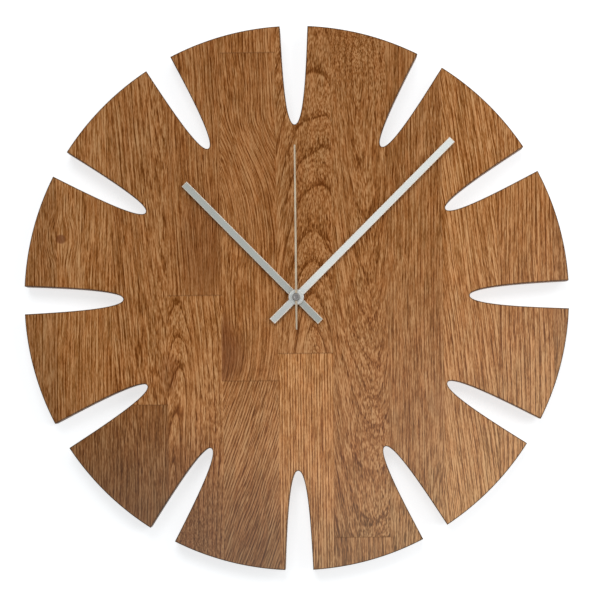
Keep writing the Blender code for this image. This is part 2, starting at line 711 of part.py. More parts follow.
def build_hanger_screw(place):
    """A countersunk wood screw with a square recess in its head."""
    screw = turned(screw_profile(0.0, 0.0), MEDIUM, place)
    recess = prism(
        circle(SCREW_RECESS_DIAMETER, place, 4), BOARD_BACK - OVERRUN, BOARD_BACK + SCREW_RECESS_DEPTH)
    return cut(screw, recess)


def build_mounting_pad():
    """Double-sided foam pad between the movement and the floor of its pocket."""
    pad = prism(case_outline(-PAD_MARGIN), PAD_BACK, PAD_BACK + PAD_THICKNESS)
    hole = cylinder(
        COLLAR_DIAMETER + 2 * PAD_MARGIN, PAD_BACK - OVERRUN, PAD_BACK + PAD_THICKNESS + OVERRUN)
    return cut(pad, hole)


# Movement case and frame

def post(place):
    """A stepped post of the front case, with a shoulder under each plate."""
    width = POST_DIAMETER
    steps = (
        (FLOOR + half(CASE_FLOOR), width),
        (MIDDLE_PLATE_FRONT + SEAT_GAP, width),
        (MIDDLE_PLATE_FRONT + SEAT_GAP, width - 2 * POST_STEP),
        (BRIDGE_FRONT + SEAT_GAP, width - 2 * POST_STEP),
        (BRIDGE_FRONT + SEAT_GAP, width - 4 * POST_STEP),
        (BRIDGE_BACK, width - 4 * POST_STEP))
    profile = [(0.0, steps[0][0])]
    profile += [(half(diameter), depth) for depth, diameter in steps]
    profile.append((0.0, steps[-1][0]))
    return turned(profile, SMALL, place)


def stake_places():
    """The two stakes that hold the stator and the coil's core together."""
    reach = half(STATOR_WIDTH - STATOR_LEG_WIDTH)
    return [(STATOR_CENTRE_X - reach, COIL_CENTRE_Z), (STATOR_CENTRE_X + reach, COIL_CENTRE_Z)]


def stake(place):
    """A pillar of the front case with a pin through the stator and the core."""
    pillar = half(STATOR_LEG_WIDTH)
    pin = half(STAKE_DIAMETER)
    profile = (
        (0.0, FLOOR + half(CASE_FLOOR)), (pillar, FLOOR + half(CASE_FLOOR)),
        (pillar, STATOR_FRONT + SEAT_GAP), (pin, STATOR_FRONT + SEAT_GAP),
        (pin, CORE_BACK - PIVOT_REACH), (0.0, CORE_BACK - PIVOT_REACH))
    return turned(profile, SMALL, place)


def circuit_places():
    """The two studs under the circuit board."""
    x = CIRCUIT_RIGHT_X - half(CIRCUIT_WIDTH)
    bottom = TRAIN_BOTTOM_Z + CIRCUIT_BOTTOM_GAP
    return [(x, bottom + CIRCUIT_HEIGHT * share) for share in CIRCUIT_STUD_SHARES]


def build_divider():
    """The wall between the battery bay and the train room, cut away at both ends for the strips."""
    end = INNER_SIDE_X + half(CASE_WALL)
    divider = prism(
        rectangle(-end, BAY_TOP_Z, end, TRAIN_BOTTOM_Z), COVER_FRONT + SEAT_GAP, FLOOR + half(CASE_FLOOR))
    notch_start = INNER_SIDE_X - 2 * SEAT_GAP - CONTACT_THICKNESS
    notches = [
        prism(
            rectangle(low, BAY_TOP_Z - OVERRUN, high, TRAIN_BOTTOM_Z + OVERRUN), CASE_BACK,
            CELL_CENTRE_DEPTH + half(STRIP_DEPTH) + SEAT_GAP)
        for low, high in ((-end - OVERRUN, -notch_start), (notch_start, end + OVERRUN))
    ]
    return cut(divider, *notches)


def build_case_front():
    """The tray of the movement: battery bay below, train room above, collar through the board."""
    side, top = CASE_SIDE_X + OVERRUN, CASE_TOP_Z + OVERRUN
    tray = prism(case_outline(0.0), CASE_BACK, CASE_FRONT)
    room = prism(case_outline(-CASE_WALL), CASE_BACK - OVERRUN, FLOOR)
    cover_step = prism(
        rectangle(-side, COVER_BOTTOM_Z, side, top), CASE_BACK - OVERRUN, COVER_FRONT + SEAT_GAP)
    thumb_notch = prism(
        rectangle(-half(THUMB_NOTCH_WIDTH), -top, half(THUMB_NOTCH_WIDTH), CELL_CENTRE_Z),
        CASE_BACK - OVERRUN, CASE_BACK + THUMB_NOTCH_DEPTH)
    cut(tray, room, cover_step, thumb_notch)

    collar = cylinder(
        COLLAR_DIAMETER, FLOOR + half(CASE_FLOOR), BOARD_FACE - COLLAR_FACE_DROP, steps=FINE)
    posts = [post(place) for place in POST_PLACES]
    stakes = [stake(place) for place in stake_places()]
    studs = [
        cylinder(
            CIRCUIT_WIDTH - 2 * SEAT_GAP, CIRCUIT_DEPTH + CIRCUIT_THICKNESS + SEAT_GAP,
            FLOOR + half(CASE_FLOOR), place, SMALL)
        for place in circuit_places()
    ]
    motion_stud = cylinder(
        STUD_DIAMETER, MOTION_WHEEL_BACK - PIVOT_REACH, FLOOR + half(CASE_FLOOR), MOTION_AXIS, SMALL)
    fuse(tray, build_divider(), collar, *posts, *stakes, *studs, motion_stud)

    bore = cylinder(2 * COLLAR_BORE, FLOOR - OVERRUN, BOARD_FACE + OVERRUN, steps=FINE)
    sockets = [
        cylinder(
            diameter + 2 * SHAFT_GAP, FLOOR - OVERRUN, FLOOR + PIVOT_REACH + SEAT_GAP, place, SMALL)
        for diameter, place in ((ARBOR_DIAMETER, THIRD_AXIS), (SETTING_SHAFT_DIAMETER, SETTING_AXIS))
    ]
    return cut(tray, bore, *sockets)


def build_case_rear():
    """The cover over the train, with a lip inside the tray and a well for the setting knob."""
    side = CASE_SIDE_X
    bottom = COVER_BOTTOM_Z + SEAT_GAP
    outline = rounded_rectangle(-side, bottom - CASE_CORNER, side, CASE_TOP_Z, CASE_CORNER)
    cover = prism(outline, CASE_BACK, COVER_FRONT)
    trim = prism(
        rectangle(-side - OVERRUN, bottom - CASE_HEIGHT, side + OVERRUN, bottom),
        CASE_BACK - OVERRUN, COVER_FRONT + OVERRUN)
    cut(cover, trim)
    lip_side = INNER_SIDE_X - SEAT_GAP
    lip_bottom = TRAIN_BOTTOM_Z + SEAT_GAP
    lip_top = INNER_TOP_Z - SEAT_GAP
    corner = CASE_CORNER - CASE_WALL - SEAT_GAP
    wall = COVER_LIP_THICKNESS
    lip = prism(
        rounded_rectangle(-lip_side, lip_bottom, lip_side, lip_top, corner),
        COVER_FRONT - half(COVER_THICKNESS), COVER_FRONT + COVER_LIP_DEPTH)
    room_side = lip_side - wall
    hollow = prism(
        rounded_rectangle(-room_side, lip_bottom + wall, room_side, lip_top - wall, corner - wall),
        COVER_FRONT, COVER_FRONT + COVER_LIP_DEPTH + OVERRUN)
    fuse(cover, lip)
    well = cylinder(
        KNOB_DIAMETER + 2 * KNOB_WELL_GAP, CASE_BACK - OVERRUN, CASE_BACK + KNOB_WELL_DEPTH,
        SETTING_AXIS, FINE)
    hole = cylinder(
        SETTING_SHAFT_DIAMETER + 2 * SHAFT_GAP, CASE_BACK - OVERRUN, COVER_FRONT + OVERRUN,
        SETTING_AXIS, COARSE)
    return cut(cover, hollow, well, hole)


def frame_plate(back, front, post_hole, pivots):
    """A plate on the four posts, with holes for the posts and for what turns in it."""
    left = min(x for x, z in POST_PLACES) - half(POST_DIAMETER)
    right = SETTING_AXIS[0] + half(SETTING_SHAFT_DIAMETER) + PLATE_EDGE
    right = max(right, max(x for x, z in POST_PLACES) + half(POST_DIAMETER))
    bottom = min(z for x, z in POST_PLACES) - half(POST_DIAMETER)
    plate = prism(
        rounded_rectangle(left, bottom, right, FRAME_PLATE_TOP_Z, half(POST_DIAMETER)), back, front)
    holes = [
        cylinder(post_hole + 2 * SHAFT_GAP, back - OVERRUN, front + OVERRUN, place, SMALL)
        for place in POST_PLACES
    ]
    holes += [
        cylinder(diameter + 2 * SHAFT_GAP, back - OVERRUN, front + OVERRUN, place, SMALL)
        for diameter, place in pivots
    ]
    return cut(plate, *holes)


def build_middle_plate():
    """The plate between the centre wheel and the rest of the train."""
    third_tip = 2 * CENTRE_MODULE * (THIRD_LEAVES / 2 + ADDENDUM_SHARE)
    pivots = (
        (SECOND_ARBOR_DIAMETER, HAND_AXIS), (third_tip, THIRD_AXIS),
        (ARBOR_DIAMETER, INTERMEDIATE_AXIS), (ARBOR_DIAMETER, ROTOR_AXIS),
        (SETTING_SHAFT_DIAMETER, SETTING_AXIS))
    return frame_plate(MIDDLE_PLATE_BACK, MIDDLE_PLATE_FRONT, POST_DIAMETER - 2 * POST_STEP, pivots)


def build_rear_bridge():
    """The plate that carries the rear pivots."""
    pivots = (
        (SECOND_ARBOR_DIAMETER, HAND_AXIS), (ARBOR_DIAMETER, THIRD_AXIS),
        (ARBOR_DIAMETER, INTERMEDIATE_AXIS), (ARBOR_DIAMETER, ROTOR_AXIS),
        (SETTING_SHAFT_DIAMETER, SETTING_AXIS))
    return frame_plate(BRIDGE_BACK, BRIDGE_FRONT, POST_DIAMETER - 4 * POST_STEP, pivots)


# Electronics and motor

def build_circuit_board():
    """A narrow board on two studs of the front case."""
    bottom = TRAIN_BOTTOM_Z + CIRCUIT_BOTTOM_GAP
    return prism(
        rectangle(
            CIRCUIT_RIGHT_X - CIRCUIT_WIDTH, bottom, CIRCUIT_RIGHT_X, bottom + CIRCUIT_HEIGHT),
        CIRCUIT_DEPTH, CIRCUIT_DEPTH + CIRCUIT_THICKNESS)


def build_chip_blob():
    """The domed drop of resin over the chip."""
    x, z = circuit_places()[0]
    radius = half(BLOB_DIAMETER)
    front = CIRCUIT_DEPTH - SEAT_GAP
    profile = [(0.0, front)]
    steps = 4
    for i in range(steps):
        angle = math.pi / 2 * i / steps
        profile.append((radius * math.cos(angle), front - BLOB_HEIGHT * math.sin(angle)))
    profile.append((0.0, front - BLOB_HEIGHT))
    return turned(profile, COARSE, (x, z))


def build_crystal_can():
    """The tuning-fork crystal's metal can, lying on the board."""
    x, z = circuit_places()[1]
    radius = half(CRYSTAL_DIAMETER)
    depth = CIRCUIT_DEPTH - SEAT_GAP - radius
    low = z - half(CRYSTAL_LENGTH)
    can = cylinder(CRYSTAL_DIAMETER, 0.0, CRYSTAL_LENGTH, steps=COARSE)
    for vertex in can.data.vertices:
        across, forward, up = vertex.co.x, -vertex.co.y, vertex.co.z
        vertex.co = Vector((x + across, up - depth, low + forward))
    return flip_faces(can)


def flip_faces(shape):
    """Point a mirrored shape's faces outwards again."""
    mesh = bmesh.new()
    mesh.from_mesh(shape.data)
    bmesh.ops.recalc_face_normals(mesh, faces=mesh.faces)
    mesh.to_mesh(shape.data)
    mesh.free()
    return shape


def coil_length():
    """The bobbin's length between the stator's legs."""
    return STATOR_WIDTH - 2 * STATOR_LEG_WIDTH - 2 * COIL_END_GAP


def build_coil_bobbin():
    """The bobbin: a barrel between two flanges, with a flat bore for the core."""
    flange = half(COIL_DIAMETER)
    barrel = half(COIL_BARREL_DIAMETER)
    length = coil_length()
    near = COIL_FLANGE_THICKNESS
    far = length - COIL_FLANGE_THICKNESS
    profile = (
        (0.0, 0.0), (flange, 0.0), (flange, near), (barrel, near),
        (barrel, far), (flange, far), (flange, length), (0.0, length))
    bobbin = turn_to_x(turned(profile, COARSE), STATOR_CENTRE_X + half(length), COIL_DEPTH, COIL_CENTRE_Z)
    flip_faces(bobbin)
    bore = prism(
        rectangle(
            STATOR_CENTRE_X - half(length) - OVERRUN, COIL_CENTRE_Z - half(COIL_CORE_WIDTH) - SHAFT_GAP,
            STATOR_CENTRE_X + half(length) + OVERRUN, COIL_CENTRE_Z + half(COIL_CORE_WIDTH) + SHAFT_GAP),
        CORE_BACK - SHAFT_GAP, CORE_FRONT + SHAFT_GAP)
    return cut(bobbin, bore)


def build_coil_winding():
    """The copper winding between the flanges."""
    inner = half(COIL_BARREL_DIAMETER) + SHAFT_GAP
    outer = half(COIL_DIAMETER) - SHAFT_GAP
    near = COIL_FLANGE_THICKNESS + SEAT_GAP
    far = coil_length() - near
    winding = ring(inner, outer, near, far)
    return flip_faces(turn_to_x(winding, STATOR_CENTRE_X + half(coil_length()), COIL_DEPTH, COIL_CENTRE_Z))


def stake_holes(back, front):
    """Cutters for the stakes' pins."""
    return [
        cylinder(STAKE_DIAMETER + 2 * SHAFT_GAP, back - OVERRUN, front + OVERRUN, place, SMALL)
        for place in stake_places()
    ]


def build_coil_core():
    """The iron strip through the bobbin, whose ends lie on the stator's legs."""
    reach = half(STATOR_WIDTH)
    rise = half(COIL_CORE_WIDTH)
    outline = rectangle(
        STATOR_CENTRE_X - reach, COIL_CENTRE_Z - rise, STATOR_CENTRE_X + reach, COIL_CENTRE_Z + rise)
    core = prism(outline, CORE_BACK, CORE_FRONT)
    return cut(core, *stake_holes(CORE_BACK, CORE_FRONT))


def build_stator_plate():
    """The iron plate round the rotor, with two legs up to the coil's core."""
    reach = half(STATOR_WIDTH)
    low = ROTOR_AXIS[1] - half(STATOR_BAR_HEIGHT)
    high = ROTOR_AXIS[1] + half(STATOR_BAR_HEIGHT)
    top = COIL_CENTRE_Z + half(COIL_CORE_WIDTH)
    left, right = STATOR_CENTRE_X - reach, STATOR_CENTRE_X + reach
    leg = STATOR_LEG_WIDTH
    outline = [
        (left, low), (right, low), (right, top), (right - leg, top),
        (right - leg, high), (left + leg, high), (left + leg, top), (left, top)]
    plate = prism(outline, STATOR_BACK, STATOR_FRONT)
    hole = cylinder(
        MAGNET_DIAMETER + 2 * STATOR_HOLE_CLEARANCE, STATOR_BACK - OVERRUN, STATOR_FRONT + OVERRUN,
        ROTOR_AXIS, FINE)
    return cut(plate, hole, *stake_holes(STATOR_BACK, STATOR_FRONT))


def contact_plate(side):
    """A contact at one end of the battery bay, with a button towards the cell.

    The side is -1 for the left end and 1 for the right end.
    """
    near = side * (INNER_SIDE_X - SEAT_GAP)
    far = side * (INNER_SIDE_X - SEAT_GAP - CONTACT_THICKNESS)
    left, right = min(near, far), max(near, far)
    plate = prism(
        rectangle(left, CELL_CENTRE_Z - half(CONTACT_HEIGHT), right, BAY_TOP_Z - SEAT_GAP),
        CELL_CENTRE_DEPTH - half(CONTACT_DEPTH), CELL_CENTRE_DEPTH + half(CONTACT_DEPTH))
    tip = side * (INNER_SIDE_X - SEAT_GAP - CONTACT_THICKNESS - CONTACT_BUTTON_HEIGHT)
    base = half(near + far)
    button = cylinder(CONTACT_BUTTON_DIAMETER, 0.0, abs(base - tip), steps=COARSE)
    turn_to_x(button, max(base, tip), CELL_CENTRE_DEPTH, CELL_CENTRE_Z)
    return fuse(plate, flip_faces(button))


def contact_strip(points):
    """The strip that carries a contact's current to the circuit board."""
    return prism(
        ribbon(points, CONTACT_THICKNESS),
        CELL_CENTRE_DEPTH - half(STRIP_DEPTH), CELL_CENTRE_DEPTH + half(STRIP_DEPTH))


def build_positive_contact():
    """The contact at the cell's nub, whose strip runs up the left wall."""
    x = SEAT_GAP + half(CONTACT_THICKNESS) - INNER_SIDE_X
    strip = contact_strip((
        (x, CELL_CENTRE_Z), (x, TRAIN_BOTTOM_Z + CIRCUIT_BOTTOM_GAP - SEAT_GAP)))
    return fuse(contact_plate(-1), strip)


def build_negative_contact():
    """The contact at the cell's flat end, whose strip runs back over the bay to the circuit board."""
    x = INNER_SIDE_X - SEAT_GAP - half(CONTACT_THICKNESS)
    z = TRAIN_BOTTOM_Z + SEAT_GAP + half(CONTACT_THICKNESS)
    strip = contact_strip(((x, CELL_CENTRE_Z), (x, z), (CIRCUIT_RIGHT_X - SEAT_GAP, z)))
    return fuse(contact_plate(1), strip)


def build_battery_cell():
    """One cell, lying across the bay with its nub to the left as seen from the front."""
    radius = half(CELL_DIAMETER)
    body = CELL_BODY_LENGTH
    tip = half(CELL_NUB_DIAMETER)
    profile = (
        (0.0, 0.0), (radius - CELL_SHOULDER, 0.0), (radius, CELL_SHOULDER / 2),
        (radius, body - CELL_SHOULDER / 2), (radius - CELL_SHOULDER, body), (tip, body),
        (tip, body + CELL_NUB_LENGTH), (0.0, body + CELL_NUB_LENGTH))
    cell = turned(profile, MEDIUM)
    flat_end = half(CELL_BODY_LENGTH + CELL_NUB_LENGTH)
    return flip_faces(turn_to_x(cell, flat_end, CELL_CENTRE_DEPTH, CELL_CENTRE_Z))


# Train

def wheel(teeth, module, phase, back, front):
    """A toothed disc round its own axis."""
    return prism(wheel_outline(teeth, module, phase), back, front)


def arbor(diameter, back, front):
    """A plain arbor round its own axis."""
    return cylinder(diameter, back, front, steps=SMALL)


def train_phases():
    """The phase of every toothed outline, each in mesh with its mate at rest."""
    free = ("rotor", "intermediate_leaves", "second_leaves", "third_leaves", "pipe", "motion_leaves")
    phases = dict.fromkeys(free, 0.0)
    phases["intermediate"] = meshed_phase(
        phases["rotor"], ROTOR_LEAVES, ROTOR_AXIS, INTERMEDIATE_TEETH, INTERMEDIATE_AXIS)
    phases["second"] = meshed_phase(
        phases["intermediate_leaves"], INTERMEDIATE_LEAVES, INTERMEDIATE_AXIS, SECOND_TEETH, HAND_AXIS)
    phases["third"] = meshed_phase(
        phases["second_leaves"], SECOND_LEAVES, HAND_AXIS, THIRD_TEETH, THIRD_AXIS)
    phases["centre"] = meshed_phase(
        phases["third_leaves"], THIRD_LEAVES, THIRD_AXIS, CENTRE_TEETH, HAND_AXIS)
    phases["motion"] = meshed_phase(phases["pipe"], PIPE_LEAVES, HAND_AXIS, MOTION_TEETH, MOTION_AXIS)
    phases["hour"] = meshed_phase(
        phases["motion_leaves"], MOTION_LEAVES, MOTION_AXIS, HOUR_TEETH, HAND_AXIS)
    phases["setting"] = meshed_phase(
        phases["motion"], MOTION_TEETH, MOTION_AXIS, SETTING_LEAVES, SETTING_AXIS)
    return phases


def build_rotor_arbor(phase):
    """The rotor's arbor with its pinion."""
    pinion = wheel(
        ROTOR_LEAVES, ROTOR_MODULE, phase,
        INTERMEDIATE_BACK - PINION_OVERLAP, INTERMEDIATE_FRONT + PINION_OVERLAP)
    return fuse(pinion, arbor(ARBOR_DIAMETER, BRIDGE_BACK, MIDDLE_PLATE_FRONT))


def build_rotor_magnet():
    """The ring magnet on the rotor's arbor."""
    return ring(half(ARBOR_DIAMETER) + SHAFT_GAP, half(MAGNET_DIAMETER), MAGNET_BACK, MAGNET_FRONT)


def build_intermediate_wheel(wheel_phase, leaves_phase):
    """The wheel that the rotor drives, with the pinion that drives the second wheel."""
    disc = wheel(INTERMEDIATE_TEETH, ROTOR_MODULE, wheel_phase, INTERMEDIATE_BACK, INTERMEDIATE_FRONT)
    pinion = wheel(
        INTERMEDIATE_LEAVES, SECOND_MODULE, leaves_phase,
        INTERMEDIATE_FRONT - half(TRAIN_WHEEL_THICKNESS), SECOND_WHEEL_FRONT + PINION_OVERLAP)
    return fuse(disc, pinion, arbor(ARBOR_DIAMETER, BRIDGE_BACK, MIDDLE_PLATE_FRONT))


def build_second_wheel(wheel_phase, leaves_phase):
    """The wheel on the second arbor, which turns once a minute, with its pinion."""
    disc = wheel(SECOND_TEETH, SECOND_MODULE, wheel_phase, SECOND_WHEEL_BACK, SECOND_WHEEL_FRONT)
    pinion = wheel(
        SECOND_LEAVES, THIRD_MODULE, leaves_phase,
        SECOND_WHEEL_FRONT - half(TRAIN_WHEEL_THICKNESS), THIRD_WHEEL_FRONT + SHAFT_GAP)
    bore = cylinder(
        SECOND_ARBOR_DIAMETER + 2 * SHAFT_GAP, SECOND_WHEEL_BACK - OVERRUN, MIDDLE_PLATE_BACK, steps=COARSE)
    return cut(fuse(disc, pinion), bore)


def build_second_arbor():
    """The steel pin from the rear bridge through both pipes to the second hand."""
    return arbor(SECOND_ARBOR_DIAMETER, BRIDGE_BACK, SECOND_HAND_FRONT)


def build_third_wheel(wheel_phase, leaves_phase):
    """The wheel between the second pinion and the centre wheel."""
    disc = wheel(THIRD_TEETH, THIRD_MODULE, wheel_phase, THIRD_WHEEL_BACK, THIRD_WHEEL_FRONT)
    pinion = wheel(
        THIRD_LEAVES, CENTRE_MODULE, leaves_phase,
        CENTRE_WHEEL_BACK - PINION_OVERLAP, CENTRE_WHEEL_FRONT + PINION_OVERLAP)
    return fuse(disc, pinion, arbor(ARBOR_DIAMETER, BRIDGE_BACK, FLOOR + PIVOT_REACH))


def build_centre_wheel(phase):
    """The wheel that turns once an hour and drives the minute pipe through the clutch."""
    disc = wheel(CENTRE_TEETH, CENTRE_MODULE, phase, CENTRE_WHEEL_BACK, CENTRE_WHEEL_FRONT)
    bore = cylinder(
        MINUTE_PIPE_DIAMETER + 2 * SHAFT_GAP, CENTRE_WHEEL_BACK - OVERRUN, CENTRE_WHEEL_FRONT + OVERRUN,
        steps=COARSE)
    return cut(disc, bore)


def build_clutch_spring():
    """The spring washer that presses the centre wheel against the pipe's flange."""
    inner = half(MINUTE_PIPE_DIAMETER) + SHAFT_GAP
    return ring(inner, inner + CLUTCH_SPRING_WIDTH, SPRING_BACK, SPRING_FRONT)


def build_minute_pipe(phase):
    """The pipe that carries the minute hand, with its flange and pinion."""
    radius = half(MINUTE_PIPE_DIAMETER)
    flange = radius + PIPE_FLANGE_WIDTH
    profile = (
        (0.0, FLANGE_BACK), (flange, FLANGE_BACK), (flange, FLANGE_FRONT), (radius, FLANGE_FRONT),
        (radius, MINUTE_HAND_FRONT), (0.0, MINUTE_HAND_FRONT))
    pipe = fuse(
        turned(profile), wheel(PIPE_LEAVES, MOTION_MODULE, phase, PIPE_PINION_BACK, PIPE_PINION_FRONT))
    bore = cylinder(2 * MINUTE_PIPE_BORE, FLANGE_BACK - OVERRUN, MINUTE_HAND_FRONT + OVERRUN)
    return cut(pipe, bore)


def build_motion_wheel(wheel_phase, leaves_phase):
    """The wheel beside the hand axis that brings twelve turns of the minute pipe down to one."""
    disc = wheel(MOTION_TEETH, MOTION_MODULE, wheel_phase, MOTION_WHEEL_BACK, MOTION_WHEEL_FRONT)
    pinion = wheel(
        MOTION_LEAVES, HOUR_MODULE, leaves_phase,
        MOTION_WHEEL_FRONT - half(MOTION_WHEEL_THICKNESS), HOUR_WHEEL_FRONT)
    bore = cylinder(
        STUD_DIAMETER + 2 * SHAFT_GAP, MOTION_WHEEL_BACK - OVERRUN, HOUR_WHEEL_FRONT + OVERRUN, steps=COARSE)
    return cut(fuse(disc, pinion), bore)


def build_hour_wheel(phase):
    """The wheel that turns once in twelve hours, with the pipe that carries the hour hand."""
    disc = wheel(HOUR_TEETH, HOUR_MODULE, phase, HOUR_WHEEL_BACK, HOUR_WHEEL_FRONT)
    pipe = cylinder(2 * HOUR_PIPE_RADIUS, half(HOUR_WHEEL_BACK + HOUR_WHEEL_FRONT), HOUR_HAND_FRONT)
    bore = cylinder(2 * HOUR_PIPE_BORE, HOUR_WHEEL_BACK - OVERRUN, HOUR_HAND_FRONT + OVERRUN)
    return cut(fuse(disc, pipe), bore)


def build_setting_pinion(phase):
    """The pinion and shaft that the setting knob turns."""
    pinion = wheel(
        SETTING_LEAVES, MOTION_MODULE, phase,
        MOTION_WHEEL_BACK - PINION_OVERLAP, MOTION_WHEEL_FRONT + PINION_OVERLAP)
    return fuse(pinion, arbor(SETTING_SHAFT_DIAMETER, CASE_BACK, FLOOR + PIVOT_REACH))


def build_setting_knob():
    """The fluted knob on the back, pushed over the end of its shaft."""
    radius = half(KNOB_DIAMETER)
    outline = []
    pitch = 2 * math.pi / KNOB_FLUTES
    reaches = (radius, radius - KNOB_FLUTE_DEPTH, radius - KNOB_FLUTE_DEPTH, radius)
    for i in range(KNOB_FLUTES):
        for share, reach in zip(KNOB_FLUTE_SHARES, reaches):
            angle = (i + share) * pitch
            outline.append((reach * math.cos(angle), reach * math.sin(angle)))
    eased = inset(outline, KNOB_FLUTE_DEPTH)
    rim = CASE_BACK + KNOB_WELL_DEPTH - SEAT_GAP
    knob = layered(((eased, KNOB_BACK), (outline, KNOB_BACK + KNOB_FLUTE_DEPTH), (outline, rim)))
    dish = turned((
        (0.0, KNOB_BACK - OVERRUN), (radius - KNOB_RIM_WIDTH, KNOB_BACK - OVERRUN),
        (radius - KNOB_RIM_WIDTH, KNOB_BACK + KNOB_FLUTE_DEPTH), (0.0, KNOB_BACK + KNOB_FLUTE_DEPTH)),
        MEDIUM)
    shaft = cylinder(
        SETTING_SHAFT_DIAMETER + 2 * SHAFT_GAP, CASE_BACK - SEAT_GAP, rim + OVERRUN, steps=COARSE)
    return cut(knob, dish, shaft)


# Hands

def bar_hand(length, tail, width, pipe_diameter, back):
    """A straight bar with a bevelled front edge and a round raised eye for its pipe."""
    front = back + HAND_THICKNESS
    outline = rectangle(-half(width), -tail, half(width), length)
    hand = layered((
        (outline, back), (outline, front - HAND_BEVEL), (inset(outline, HAND_BEVEL), front)))
    eye_radius = half(HAND_EYE_DIAMETER)
    eye_front = front + HAND_EYE_RISE
    eye = turned((
        (0.0, back), (eye_radius, back), (eye_radius, eye_front - HAND_EYE_RISE),
        (eye_radius - HAND_EYE_RISE, eye_front), (0.0, eye_front)), FINE)
    hole = cylinder(pipe_diameter + 2 * SHAFT_GAP, back - OVERRUN, front + HAND_EYE_RISE + OVERRUN)
    return cut(fuse(hand, eye), hole)


def build_collet(pipe_diameter, back, hand_back):
    """The ring behind a hand that grips its pipe."""
    inner = half(pipe_diameter) + SHAFT_GAP
    return ring(inner, inner + COLLET_WALL, back, hand_back - SHAFT_GAP)


def build_hour_hand():
    """The hour hand, pointing up before it is turned."""
    return bar_hand(
        HOUR_HAND_LENGTH, HOUR_HAND_TAIL, HOUR_HAND_WIDTH, 2 * HOUR_PIPE_RADIUS, HOUR_HAND_BACK)


def build_minute_hand():
    """The minute hand, pointing up before it is turned."""
    return bar_hand(
        MINUTE_HAND_LENGTH, MINUTE_HAND_TAIL, MINUTE_HAND_WIDTH, MINUTE_PIPE_DIAMETER, MINUTE_HAND_BACK)


def build_second_hand():
    """The second hand: a needle that narrows towards its tip, with a round eye."""
    root, tip = half(SECOND_HAND_ROOT_WIDTH), half(SECOND_HAND_TIP_WIDTH)
    outline = [
        (-tip, -SECOND_HAND_TAIL), (tip, -SECOND_HAND_TAIL), (root, 0.0),
        (tip, SECOND_HAND_LENGTH), (-tip, SECOND_HAND_LENGTH), (-root, 0.0)]
    hand = prism(outline, SECOND_HAND_BACK, SECOND_HAND_FRONT)
    eye = cylinder(SECOND_HAND_EYE_DIAMETER, SECOND_HAND_BACK, SECOND_HAND_FRONT)
    hole = cylinder(
        SECOND_ARBOR_DIAMETER + 2 * SHAFT_GAP, SECOND_HAND_BACK - OVERRUN, SECOND_HAND_FRONT + OVERRUN,
        steps=COARSE)
    return cut(fuse(hand, eye), hole)


def build_second_socket():
    """The tube behind the second hand that grips its arbor."""
    inner = half(SECOND_ARBOR_DIAMETER) + SHAFT_GAP
    outer = half(SECOND_HAND_EYE_DIAMETER) - SEAT_GAP
    back = MINUTE_HAND_FRONT + HAND_EYE_RISE + SEAT_GAP
    return ring(inner, outer, back, SECOND_HAND_BACK - SEAT_GAP)


def build_second_cap():
    """The round cap over the second hand's eye, dished in the middle."""
    radius = half(SECOND_CAP_DIAMETER)
    back = SECOND_HAND_FRONT + SEAT_GAP
    front = back + SECOND_CAP_HEIGHT
    dimple = SECOND_CAP_DIMPLE
    profile = (
        (0.0, back), (radius, back), (radius, front - dimple), (radius - dimple, front),
        (half(radius), front), (half(radius) - dimple, front - dimple), (0.0, front - dimple))
    return turned(profile, MEDIUM)


